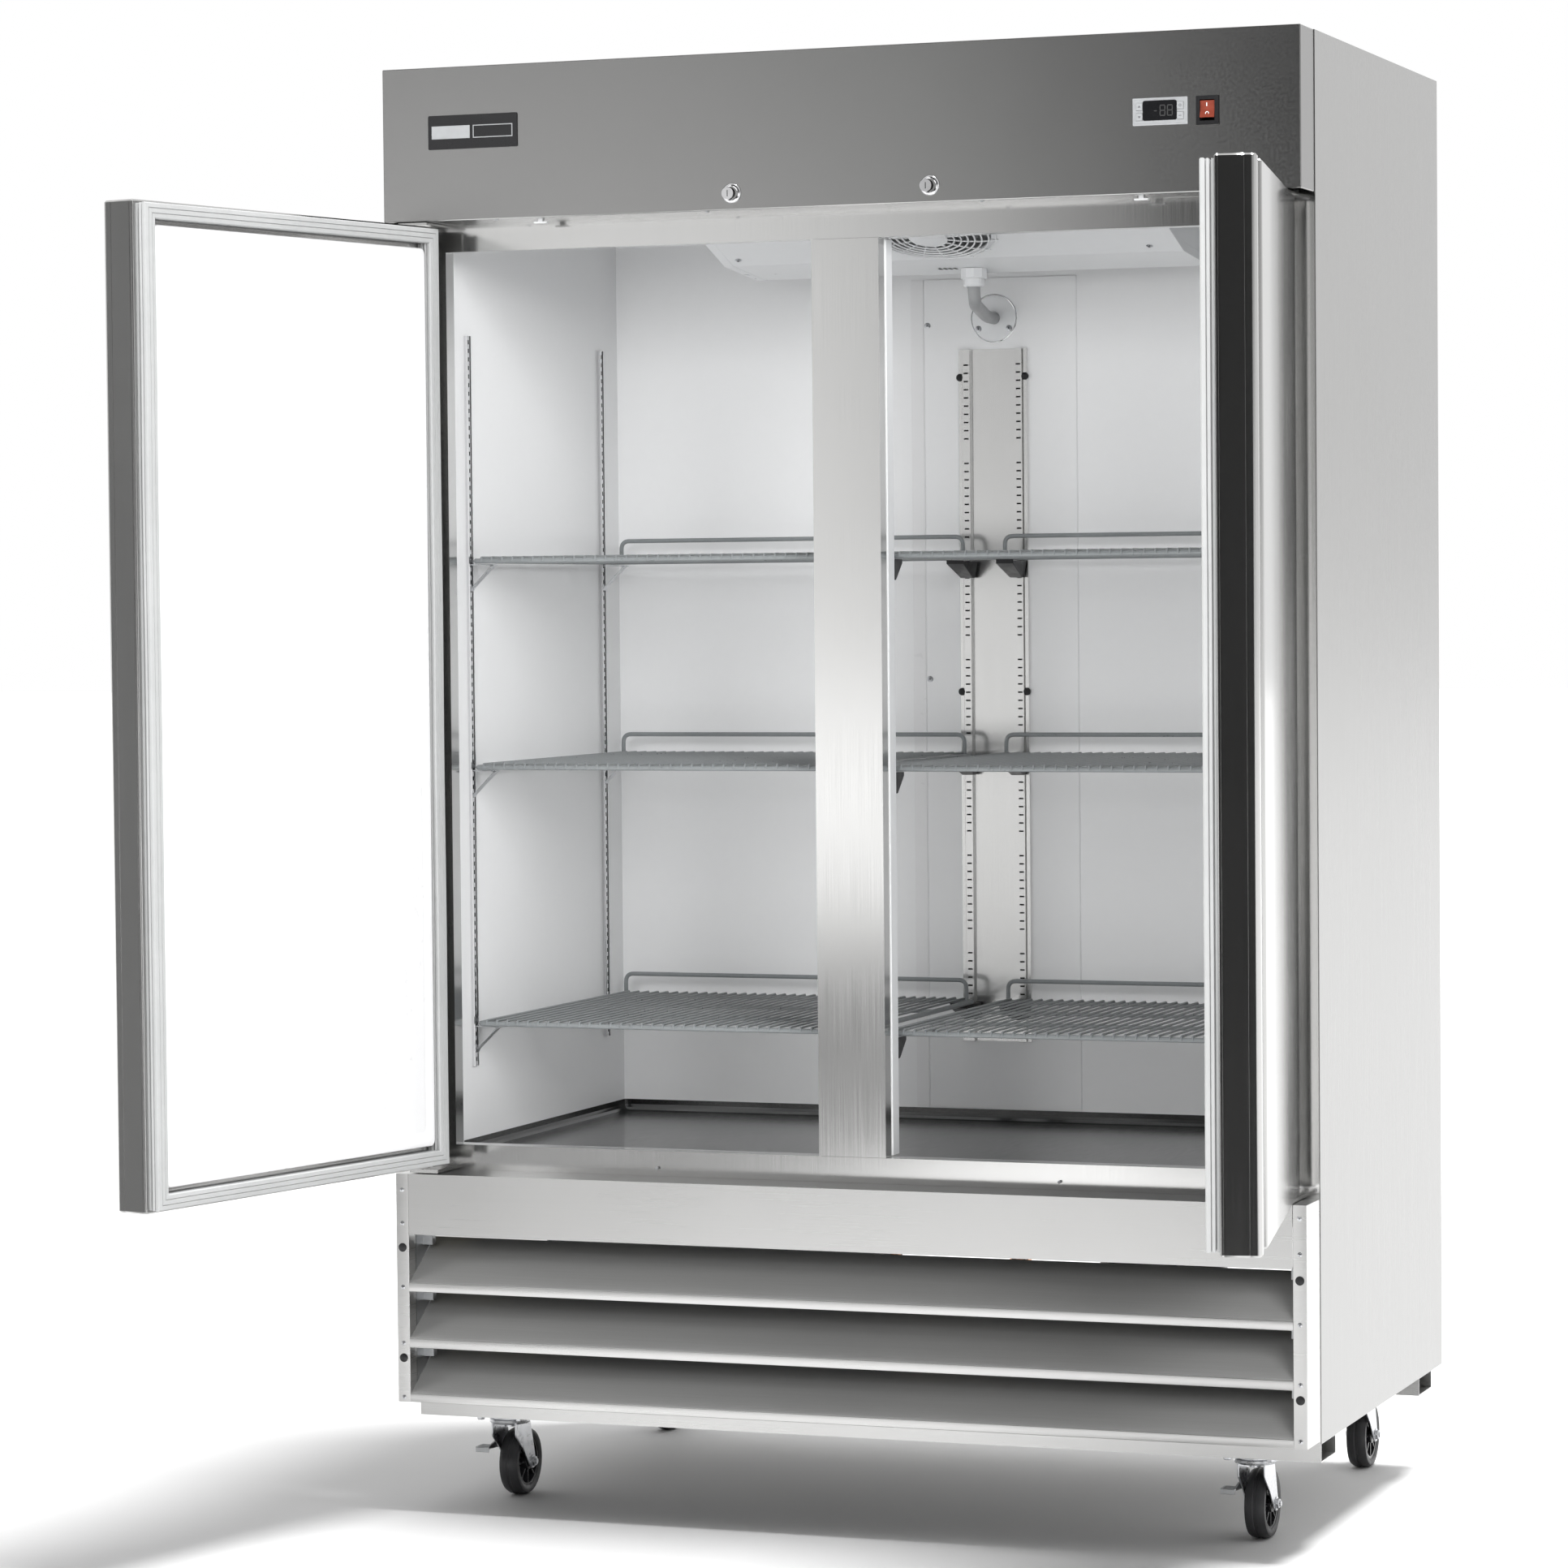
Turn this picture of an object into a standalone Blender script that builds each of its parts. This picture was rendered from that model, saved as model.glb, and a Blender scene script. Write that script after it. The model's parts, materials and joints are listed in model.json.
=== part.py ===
"""Two-door bottom-mount reach-in refrigerator, built as separate closed solids.

Metres, Z up, floor at z = 0, x = 0 on the centre line, face frame at y = 0, front towards -Y.
The doors are built shut and then turned open about their hinge pins.
"""

import math

import bmesh
import bpy
from mathutils import Vector

# ---- driving dimensions ----
HALF_W = 0.686  # half the cabinet width
DEPTH = 0.748  # face frame to rear skin
PROUD = 0.073  # header, shut doors and grille stand this far in front of the face frame
TOP_Z = 2.107
SKIN = 0.0012  # stainless sheet
GAP = 0.0003  # clearance between neighbouring pieces
BODY_Z = 0.158  # underside of the outer skin
GRILLE_Z = 0.162
KICK_Z = 0.409
SILL_Z = 0.498  # top of the grille box
HEAD_Z = 1.885  # underside of the header
OPEN_X, OPEN_LO, OPEN_HI = 0.620, 0.535, 1.845  # mouth of the food zone
RETURN_Y = 0.027  # depth of the steel returns round the mouth
LINER_X, LINER_LO, LINER_HI, LINER_Y = 0.632, 0.515, 2.045, 0.685
MULL_X, MULL_Y = 0.0507, 0.054
FOAM_LO = 0.4585
SHELF_Z = (1.398, 1.092, 0.711)
SHELF_X0, SHELF_X1, SHELF_Y0, SHELF_Y1 = 0.020, 0.618, 0.070, 0.635
SHELF_T, RAIL_H = 0.008, 0.033
PIL_Y = (0.095, 0.610)  # front and rear shelf uprights
DOOR_LO, DOOR_HI = 0.510, 1.8785
PIVOT_X, PIVOT_Y = 0.654, -0.057
DOOR_IN, DOOR_OUT = -0.648, 0.017  # free edge and hinge edge, measured from the pin
DOOR_F, DOOR_B = -0.016, 0.037  # outer face and back flange, measured from the pin
OPEN_LEFT, OPEN_RIGHT = 103.2, 100.4  # how far each door stands open
CASTER_X, CASTER_Y = 0.5714, (0.075, 0.672)
TRAIL = 0.038
WHEEL_R, WHEEL_W = 0.050, 0.031
PLATE_Z = 0.127  # underside of the caster plates
EVAP_X0, EVAP_X1 = -0.310, 0.405
FAN_Y, FAN_Z, FAN_X = 0.2329, 1.8694, 0.0475
FACET_Y, FACET_Z = -0.3303, -0.9438  # outward direction of the sloping fan panel
DRAIN = (0.052, 0.430)
PLATE_XZ = (0.0013, 1.766)
CTRL_X, CTRL_Z = 0.4875, 1.9968
SWITCH_X, SWITCH_Z = 0.55425, 1.99585
LOCK_X, LOCK_Z = 0.148, 1.9085
PLUNGER_X, PLUNGER_Y = 0.4505, -0.040

for old in list(bpy.data.objects):
    bpy.data.objects.remove(old, do_unlink=True)
fridge = bpy.data.collections.new("reach_in_refrigerator")
cutters = bpy.data.collections.new("cutters")
bpy.context.scene.collection.children.link(fridge)
bpy.context.scene.collection.children.link(cutters)


# ---- materials ----
def make_material(name, colour, metallic, roughness):
    m = bpy.data.materials.new(name)
    m.use_nodes = True
    s = m.node_tree.nodes["Principled BSDF"].inputs
    s["Base Color"].default_value = (*colour, 1.0)
    s["Metallic"].default_value = metallic
    s["Roughness"].default_value = roughness
    return m


STEEL = ((0.62, 0.62, 0.61), 1.0, 0.28)
ZINC = ((0.55, 0.56, 0.58), 1.0, 0.35)
COPPER = ((0.70, 0.38, 0.24), 1.0, 0.35)
WHITE = ((0.86, 0.87, 0.87), 0.0, 0.45)
FOAM = ((0.80, 0.72, 0.48), 0.0, 0.90)
BLACK = ((0.02, 0.02, 0.02), 0.0, 0.50)
GREY = ((0.45, 0.46, 0.47), 0.0, 0.50)
RED = ((0.60, 0.03, 0.03), 0.0, 0.25)
EPOXY = ((0.58, 0.60, 0.61), 0.0, 0.40)


# ---- builders ----
def place(name, mesh_or_curve, look, at=(0, 0, 0), parent=None, turn=(0, 0, 0)):
    """Puts data in the scene as a finished piece, or as a cutter when look is None."""
    o = bpy.data.objects.new(name, mesh_or_curve)
    o.location, o.rotation_euler, o.parent = at, turn, parent
    if look is None:
        cutters.objects.link(o)
        o.hide_render, o.display_type = True, "WIRE"
    else:
        fridge.objects.link(o)
        o.data.materials.append(make_material(name, *look))
    return o


def prism(name, outline, axis, lo, hi, look=None, **where):
    """Extrudes a flat outline along axis: X takes (y, z) points, Y takes (x, z), Z takes (x, y)."""
    order = {"X": (2, 0, 1), "Y": (0, 2, 1), "Z": (0, 1, 2)}[axis]
    bm = bmesh.new()
    rings = []
    for level in (lo, hi):
        rings.append([bm.verts.new([(u, v, level)[k] for k in order]) for u, v in outline])
    n = len(outline)
    for i in range(n):
        j = (i + 1) % n
        bm.faces.new((rings[0][i], rings[0][j], rings[1][j], rings[1][i]))
    bm.faces.new(rings[0])
    bm.faces.new(rings[1])
    bmesh.ops.recalc_face_normals(bm, faces=bm.faces)
    mesh = bpy.data.meshes.new(name)
    bm.to_mesh(mesh)
    bm.free()
    return place(name, mesh, look, **where)


def box(name, lo, hi, look=None, **where):
    x0, x1 = sorted((lo[0], hi[0]))
    outline = [(x0, lo[1]), (x1, lo[1]), (x1, hi[1]), (x0, hi[1])]
    return prism(name, outline, "Z", lo[2], hi[2], look, **where)


def lathe(name, profile, look=None, steps=32, closed=False, **where):
    """Turns a (radius, height) profile about the local Z axis with the Screw modifier."""
    n = len(profile)
    edges = [(i, i + 1) for i in range(n - 1)] + ([(n - 1, 0)] if closed else [])
    mesh = bpy.data.meshes.new(name)
    mesh.from_pydata([(r, 0, h) for r, h in profile], edges, [])
    o = place(name, mesh, look, **where)
    m = o.modifiers.new("turn", "SCREW")
    m.axis, m.steps, m.render_steps = "Z", steps, steps
    m.use_merge_vertices, m.merge_threshold, m.use_normal_flip = True, 0.00001, True
    return o


def rod(name, radius, lo, hi, look=None, steps=24, **where):
    return lathe(name, [(0, lo), (radius, lo), (radius, hi), (0, hi)], look, steps, **where)


def combine(target, other, operation):
    m = target.modifiers.new(other.name, "BOOLEAN")
    m.operation, m.object, m.solver = operation, other, "EXACT"
    return target


def cut(target, *others):
    for o in others:
        combine(target, o, "DIFFERENCE")


def fuse(target, *others):
    for o in others:
        combine(target, o, "UNION")


def soften(o, width, segments=2):
    m = o.modifiers.new("soften", "BEVEL")
    m.width, m.segments, m.limit_method = width, segments, "ANGLE"
    return o


def pivot(name, at, turn=(0, 0, 0)):
    e = bpy.data.objects.new(name, None)
    e.location, e.rotation_euler = at, turn
    cutters.objects.link(e)
    return e


SIDES = (("left", -1), ("right", 1))
FACE_FRONT = (math.pi / 2, 0, 0)  # lays a lathe's axis along Y, local +Z towards the front
ACROSS = (0, math.pi / 2, 0)  # lays a lathe's axis along X


# ---- outer skins, foam and liner ----
def build_body():
    w, t = HALF_W, SKIN
    shell = [(-w, BODY_Z), (-w, TOP_Z), (w, TOP_Z), (w, BODY_Z)]
    inner = [(w - t, BODY_Z), (w - t, TOP_Z - t), (t - w, TOP_Z - t), (t - w, BODY_Z)]
    prism("outer_shell", shell + inner, "Y", 0, DEPTH, STEEL)
    x, top = w - t - GAP, TOP_Z - t - GAP
    box("rear_panel", (-x, DEPTH - t, FOAM_LO), (x, DEPTH, top), ZINC)

    foam = box("insulation", (-x, t + 0.0004, FOAM_LO), (x, DEPTH - t - GAP, top), FOAM)
    wall = 0.0013  # liner thickness plus clearance
    cut(
        foam,
        box("foam_inside", (-LINER_X - wall, RETURN_Y + GAP, LINER_LO - wall),
            (LINER_X + wall, LINER_Y + wall, LINER_HI + wall)),
        box("foam_mouth", (-OPEN_X - 0.0015, -0.01, OPEN_LO - 0.0015),
            (OPEN_X + 0.0015, RETURN_Y + 0.01, OPEN_HI + 0.0015)),
    )
    s = 0.001
    y0 = RETURN_Y + 0.0006
    liner = box("inner_liner", (-LINER_X - s, y0, LINER_LO - s),
                (LINER_X + s, LINER_Y + s, LINER_HI + s), WHITE)
    cut(
        liner,
        box("liner_inside", (-LINER_X, y0 + s, LINER_LO), (LINER_X, LINER_Y, LINER_HI)),
        box("liner_mouth", (-OPEN_X, 0, OPEN_LO), (OPEN_X, y0 + 0.005, OPEN_HI)),
    )
    x, y0, y1 = LINER_X - 0.0004, RETURN_Y + 0.002, LINER_Y - 0.0004
    pan = box("floor_pan", (-x, y0, LINER_LO + GAP), (x, y1, LINER_LO + 0.0195), STEEL)
    hollow = box("pan_hollow", (-x + SKIN, y0 + SKIN, LINER_LO + 0.0015),
                 (x - SKIN, y1 - SKIN, LINER_LO + 0.1))
    cut(pan, soften(hollow, 0.010, 3))


# ---- face frame and mullion ----
def build_front():
    x = HALF_W - SKIN - GAP
    frame = box("face_frame", (-x, 0, 0.160), (x, SKIN, TOP_Z - SKIN - GAP), STEEL)
    fuse(frame, box("frame_returns", (-OPEN_X - SKIN, 0.0006, OPEN_LO - SKIN),
                    (OPEN_X + SKIN, RETURN_Y, OPEN_HI + SKIN)))
    cut(
        frame,
        box("frame_mouth", (-OPEN_X, -0.01, OPEN_LO), (OPEN_X, RETURN_Y + 0.01, OPEN_HI)),
        box("frame_bay", (-0.6685, -0.01, 0.1), (0.6685, 0.01, FOAM_LO)),
    )
    lo, hi = OPEN_LO + GAP, OPEN_HI - GAP
    mullion = box("centre_mullion", (-MULL_X, 0, lo), (MULL_X, MULL_Y, hi), STEEL)
    for side, s in SIDES:
        fuse(mullion, box("mullion_upright_" + side, (s * 0.032, MULL_Y - 0.001, 0.642),
                          (s * 0.048, MULL_Y + 0.0045, 1.728)))
        for k, z in enumerate(SHELF_Z):
            fuse(mullion, box(f"mullion_clip_{side}_{k}",
                              (s * 0.034, MULL_Y + 0.004, z - SHELF_T - 0.0045),
                              (s * 0.050, MULL_Y + 0.034, z - SHELF_T - GAP)))


# ---- header with its controls ----
def build_header():
    x, t = HALF_W - 0.001, SKIN
    header = box("header_cover", (-x, -PROUD, HEAD_Z), (x, -GAP, TOP_Z), STEEL)
    soften(header, 0.0015)
    cut(header, box("header_inside", (t - x, t - PROUD, HEAD_Z + t), (x - t, 0.01, TOP_Z - t)))
    cut(header, box("controller_hole", (CTRL_X - 0.0354, -0.09, CTRL_Z - 0.015),
                    (CTRL_X + 0.0354, -0.05, CTRL_Z + 0.015)))
    cut(header, box("switch_hole", (SWITCH_X - 0.0141, -0.09, SWITCH_Z - 0.0173),
                    (SWITCH_X + 0.0141, -0.05, SWITCH_Z + 0.0173)))
    for side, s in SIDES:
        cut(
            header,
            rod("lock_hole_" + side, 0.0092, 0, 0.04,
                at=(s * LOCK_X, -0.05, LOCK_Z), turn=FACE_FRONT),
            box("switch_slot_" + side,
                (s * (PLUNGER_X - 0.0045), PLUNGER_Y - 0.0045, HEAD_Z - 0.01),
                (s * (PLUNGER_X + 0.0045), PLUNGER_Y + 0.0045, HEAD_Z + 0.01)),
            box("hinge_notch_" + side, (s * 0.646, -0.0718, HEAD_Z - 0.01),
                (s * (x - t), 0.01, HEAD_Z + 0.01)),
        )
    build_controls()


def build_controls():
    y = -PROUD - GAP
    body = box("controller_housing", (CTRL_X - 0.039, y - 0.0032, CTRL_Z - 0.0188),
               (CTRL_X + 0.039, y, CTRL_Z + 0.0188), GREY)
    soften(body, 0.001)
    fuse(body, box("controller_body", (CTRL_X - 0.035, y - 0.001, CTRL_Z - 0.0146),
                   (CTRL_X + 0.035, -0.020, CTRL_Z + 0.0146)))
    for k, (dx, dz) in enumerate(((-0.029, 0.007), (-0.029, -0.007), (0.029, 0.007), (0.029, -0.007))):
        kx, kz = CTRL_X + dx, CTRL_Z + dz
        cut(body, box(f"key_pocket_{k}", (kx - 0.0048, y - 0.01, kz - 0.0053),
                      (kx + 0.0048, y + 0.0003, kz + 0.0053)))
        box(f"controller_key_{k + 1}", (-0.0044, -0.0019, -0.0049), (0.0044, 0.0019, 0.0049), GREY,
            at=(kx, y - 0.0025, kz))
    bezel = box("switch_bezel", (SWITCH_X - 0.01575, y - 0.0027, SWITCH_Z - 0.0198),
                (SWITCH_X + 0.01575, y, SWITCH_Z + 0.0198), BLACK)
    fuse(bezel, box("switch_body", (SWITCH_X - 0.0138, y - 0.001, SWITCH_Z - 0.0170),
                    (SWITCH_X + 0.0138, -0.035, SWITCH_Z + 0.0170)))
    cut(bezel, box("switch_pocket", (SWITCH_X - 0.0105, -0.1, SWITCH_Z - 0.0145),
                   (SWITCH_X + 0.0105, -0.045, SWITCH_Z + 0.0145)))
    rocker = [(-0.0095, -0.0118), (-0.0078, 0), (-0.0095, 0.0118), (0.004, 0.0095), (0.006, 0),
              (0.004, -0.0095)]
    prism("switch_rocker", rocker, "X", -0.0101, 0.0101, RED,
          at=(SWITCH_X, -0.0665, SWITCH_Z), turn=(math.radians(-9), 0, 0))
    for side, s in SIDES:
        plug = rod("lock_plug_" + side, 0.0088, -0.024, 0.0045, ZINC,
                   at=(s * LOCK_X, -PROUD, LOCK_Z), turn=FACE_FRONT)
        slot = box("key_slot_" + side, (-0.0006, -0.0045, -0.005), (0.0006, 0.0045, 0.02), parent=plug)
        cam = box("lock_cam_" + side, (-0.006, -0.006, -0.026), (0.019, 0.006, -0.023), parent=plug)
        fuse(plug, cam)
        cut(plug, slot)
        plunger = box("door_switch_" + side, (-0.0100, -0.004, 0), (0.0100, 0.004, 0.0022), WHITE,
                      at=(s * PLUNGER_X, PLUNGER_Y, 1.8793))
        fuse(plunger, box("door_switch_stem_" + side, (-0.0035, -0.0035, 0.001),
                          (0.0035, 0.0035, 0.026), parent=plunger))


# ---- grille below the doors ----
def build_grille():
    f, t, b = -PROUD, SKIN, -GAP
    kick = prism("kick_panel", [(f, KICK_Z), (f, SILL_Z), (b, SILL_Z), (b, SILL_Z - t),
                                (f + t, SILL_Z - t), (f + t, KICK_Z + t), (f + 0.018, KICK_Z + t),
                                (f + 0.018, KICK_Z)], "X", -0.6647, 0.6647, STEEL)
    for side, s in SIDES:
        cut(kick, box("kick_notch_" + side, (s * 0.6465, -0.006, SILL_Z - 0.01),
                      (s * 0.6635, 0.01, SILL_Z + 0.01)))
    x = HALF_W - 0.001
    post = [(0.665, f), (x, f), (x, b), (x - t, b), (x - t, f + t), (0.665 + t, f + t),
            (0.665 + t, f + 0.023), (0.665, f + 0.023)]
    panel = prism("louvre_panel", post, "Z", GRILLE_Z, SILL_Z, STEEL)
    fuse(
        panel,
        prism("post_left", [(-u, v) for u, v in post], "Z", GRILLE_Z, SILL_Z),
        box("post_cap_right", (0.665, f, SILL_Z - t), (x, b, SILL_Z)),
        box("post_cap_left", (-0.665, f, SILL_Z - t), (-x, b, SILL_Z)),
    )
    for k, (lo, hi) in enumerate(((0.3247, 0.3377), (0.2422, 0.2557), (0.162, 0.1744))):
        blade = [(f, lo), (f, hi), (0.020, hi + 0.057), (0.020, hi + 0.0555), (f + t, hi - 0.0008),
                 (f + t, lo)]
        fuse(panel, prism(f"louvre_{k}", blade, "X", -0.6658, 0.6658))


# ---- base, machine bay and casters ----
def build_base():
    base = box("base_frame", (-0.6843, 0.0016, BODY_Z), (0.6843, 0.7460, BODY_Z + 0.0015), ZINC)
    top = BODY_Z + 0.0005
    fuse(base, box("cross_tube_front", (-0.6843, 0.004, PLATE_Z + 0.004), (0.6843, 0.086, top)),
         box("cross_tube_rear", (-0.6843, 0.600, PLATE_Z + 0.004), (0.6843, 0.682, top)))
    cut(base, box("tube_bore_front", (-0.7, 0.0055, PLATE_Z + 0.0055), (0.7, 0.0845, top - 0.002)),
        box("tube_bore_rear", (-0.7, 0.6015, PLATE_Z + 0.0055), (0.7, 0.6805, top - 0.002)))
    for side, s in SIDES:
        fuse(base, box("side_rail_" + side, (s * 0.552, 0.030, PLATE_Z + 0.003),
                       (s * 0.591, 0.722, PLATE_Z + 0.007)),
             box("rail_web_" + side, (s * 0.552, 0.0845, PLATE_Z + 0.005), (s * 0.555, 0.6015, top)))
        for k, y in enumerate(CASTER_Y):
            fuse(base, box(f"caster_plate_{side}_{k}", (s * (CASTER_X - 0.038), y - 0.045, PLATE_Z),
                           (s * (CASTER_X + 0.038), y + 0.045, PLATE_Z + 0.0035)))
            build_caster(("front", "rear")[k] + "_" + side, s * CASTER_X, y, brake=(k == 0))


def build_caster(name, x, y, brake):
    """A swivel fork, its wheel trailing behind, and on the front ones a brake pedal."""
    crown = PLATE_Z - 0.0128
    swivel = (x, y, 0)
    fork = lathe("caster_fork_" + name,
                 [(0, crown - 0.003), (0.026, crown - 0.003), (0.030, crown + 0.001), (0.030, crown + 0.004),
                  (0.024, crown + 0.0085), (0.024, PLATE_Z - GAP), (0, PLATE_Z - GAP)], ZINC, 24, at=swivel)
    z = WHEEL_R
    leg = [(-0.022, crown + 0.003), (0.026, crown + 0.003), (TRAIL + 0.011, z + 0.006),
           (TRAIL + 0.009, z - 0.010), (TRAIL - 0.009, z - 0.010), (TRAIL - 0.012, z)]
    for side, s in SIDES:
        lo, hi = sorted((s * 0.0180, s * 0.0205))
        fuse(fork, prism(f"fork_leg_{side}_{name}", leg, "X", lo, hi, parent=fork))
    fuse(fork, rod("axle_" + name, 0.0045, -0.0245, 0.0245, steps=12, parent=fork,
                   at=(0, TRAIL, z), turn=ACROSS))
    w = WHEEL_W / 2
    rim = [(0.0052, -w), (0.014, -w), (0.0155, -0.006), (0.033, -0.006), (0.036, 0.002 - w),
           (0.043, 0.002 - w), (0.0475, 0.003 - w), (WHEEL_R, 0.007 - w)]
    lathe("wheel_" + name, rim + [(r, -h) for r, h in reversed(rim)], BLACK, 32, closed=True,
          at=(x, y + TRAIL, z), turn=ACROSS)
    if brake:
        pedal = box("brake_pedal_" + name, (-0.044, -0.052, -0.002), (-0.024, -0.026, 0.001), BLACK,
                    at=(x, y + 0.022, 0.079))
        fuse(pedal, box("pedal_arm_" + name, (-0.0245, -0.050, -0.0035), (-0.0212, 0.008, 0.006),
                        parent=pedal))


def rotor(name, radius, hub, depth, blades, look, at, turn):
    o = rod(name, hub, -depth / 2, depth / 2, look, 20, at=at, turn=turn)
    for k in range(blades):
        a = 2 * math.pi * k / blades
        b = box(f"{name}_blade_{k}", (hub - 0.006, -0.030, -0.0010), (radius, 0.030, 0.0010),
                parent=o)
        b.rotation_euler = (math.radians(24), 0, 0)
        b.rotation_mode = "XYZ"
        b.rotation_euler = (math.radians(24), 0, a)
        fuse(o, b)
    return o


def build_machine_bay():
    floor = BODY_Z + 0.0018
    can = lathe("compressor",
                [(0, floor), (0.055, floor), (0.055, floor + 0.018), (0.088, floor + 0.030),
                 (0.095, floor + 0.045), (0.095, floor + 0.180), (0.085, floor + 0.208),
                 (0.052, floor + 0.222), (0, floor + 0.226)], BLACK, 32, at=(0.340, 0.420, 0))
    fuse(can, box("compressor_feet", (-0.100, -0.075, floor), (0.100, 0.075, floor + 0.004), parent=can))
    coil = box("condenser_coil", (-0.500, 0.060, floor), (0.020, 0.120, 0.430), COPPER)
    strap = [(-0.500, 0.119), (-0.498, 0.119), (-0.498, 0.201), (0.018, 0.201), (0.018, 0.119),
             (0.020, 0.119), (0.020, 0.204), (-0.500, 0.204)]
    fuse(coil, prism("motor_strap", strap, "Z", 0.275, 0.315),
         rod("condenser_motor", 0.035, -0.250, -0.186, at=(-0.240, 0, 0.295), turn=FACE_FRONT))
    rotor("condenser_fan", 0.112, 0.030, 0.024, 5, ZINC, (-0.240, 0.155, 0.295), FACE_FRONT)


# ---- evaporator, drain and shelf uprights ----
def build_inside():
    facet = [(0.332, 1.8347), (0.468, 1.8214), (0.490, 1.8300), (0.490, 2.0440), (0.070, 2.0440),
             (0.070, 1.9264)]
    hollow = [(0.3327, 1.8369), (0.4680, 1.8236), (0.4880, 1.8316), (0.4880, 2.0420),
              (0.0720, 2.0420), (0.0720, 1.9281)]
    housing = prism("evaporator_housing", facet, "X", EVAP_X0, EVAP_X1, WHITE)
    tilt = math.atan2(FACET_Y, FACET_Z)
    turn = (-tilt, 0, 0)
    cut(
        housing,
        prism("evaporator_inside", hollow, "X", EVAP_X0 + 0.002, EVAP_X1 - 0.002),
        box("evaporator_outlet", (EVAP_X0 + 0.05, 0.48, 1.880), (EVAP_X1 - 0.05, 0.50, 2.000)),
        rod("fan_mouth", 0.092, -0.012, 0.012, steps=32, at=(FAN_X, FAN_Y, FAN_Z), turn=turn),
    )
    inset = 0.030
    rotor("evaporator_fan", 0.084, 0.024, 0.020, 5, GREY,
          (FAN_X, FAN_Y - FACET_Y * inset, FAN_Z - FACET_Z * inset), turn)
    dx, dy = DRAIN
    fuse(housing, lathe("drain_spigot", [(0.0115, 1.7985), (0.0140, 1.7985), (0.0165, 1.8010),
                                         (0.0165, 1.8270), (0.0115, 1.8270)],
                        steps=24, closed=True, at=(dx, dy, 0)))
    px, pz = PLATE_XZ
    plate = lathe("drain_wall_plate", [(0.0105, -0.0015), (0.036, -0.0015), (0.036, 0.0005),
                                       (0.034, 0.0015), (0.0105, 0.0015)], WHITE, 32, closed=True,
                  at=(px, LINER_Y - 0.0020, pz), turn=FACE_FRONT)
    plate.data.name = plate.name
    path = [(dx, dy, 1.815), (dx, dy, 1.792), (dx - 0.001, dy + 0.006, 1.781),
            (dx - 0.005, dy + 0.022, 1.773), (dx - 0.015, dy + 0.070, 1.770),
            (px + 0.010, 0.600, pz + 0.001), (px + 0.002, 0.640, pz), (px, 0.684, pz)]
    curve = bpy.data.curves.new("drain_hose", "CURVE")
    curve.dimensions, curve.bevel_depth, curve.bevel_resolution = "3D", 0.0095, 2
    curve.use_fill_caps = True
    spline = curve.splines.new("POLY")
    spline.points.add(len(path) - 1)
    for p, co in zip(spline.points, path):
        p.co = (*co, 1)
    place("drain_hose", curve, GREY)
    build_uprights()


def build_uprights():
    back = LINER_Y - GAP
    bracket = box("rear_shelf_bracket", (-0.0555, back - 0.003, 0.642), (0.0555, back, 1.718), STEEL)
    for side, s in SIDES:
        fuse(bracket, box("bracket_column_" + side, (s * 0.0365, back - 0.0105, 0.650),
                          (s * 0.0485, back - 0.002, 1.710)))
        for k, z in enumerate(SHELF_Z):
            fuse(bracket, box(f"bracket_clip_{side}_{k}",
                              (s * 0.029, 0.612, z - SHELF_T - 0.0045),
                              (s * 0.046, back - 0.010, z - SHELF_T - GAP)))
        for end, y in zip(("front", "rear"), PIL_Y):
            x = LINER_X - GAP
            up = box(f"shelf_upright_{side}_{end}", (s * (x - 0.005), y - 0.008, 0.642),
                     (s * x, y + 0.008, 1.728), STEEL)
            for k, z in enumerate(SHELF_Z):
                fuse(up, box(f"upright_clip_{side}_{end}_{k}",
                             (s * (SHELF_X1 - 0.018), y - 0.011, z - SHELF_T - 0.0045),
                             (s * (x - 0.004), y + 0.011, z - SHELF_T - GAP)))


def build_shelves():
    slots, edge = 13, 0.014
    pitch = (SHELF_X1 - SHELF_X0 - 2 * edge) / slots
    for side, s in SIDES:
        for level, z in zip(("top", "middle", "bottom"), SHELF_Z):
            o = box(f"shelf_{side}_{level}", (s * SHELF_X0, SHELF_Y0, z - SHELF_T),
                    (s * SHELF_X1, SHELF_Y1, z), EPOXY)
            fuse(o, box(f"rail_{side}_{level}", (s * SHELF_X0, SHELF_Y1 - 0.006, z - 0.004),
                        (s * SHELF_X1, SHELF_Y1, z + RAIL_H)))
            for k in range(slots):
                x = SHELF_X0 + edge + (k + 0.5) * pitch
                cut(o, box(f"slot_{side}_{level}_{k}", (s * (x - 0.0165), SHELF_Y0 + 0.012, z - 0.02),
                           (s * (x + 0.0165), SHELF_Y1 - 0.014, z + 0.02)))


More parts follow.
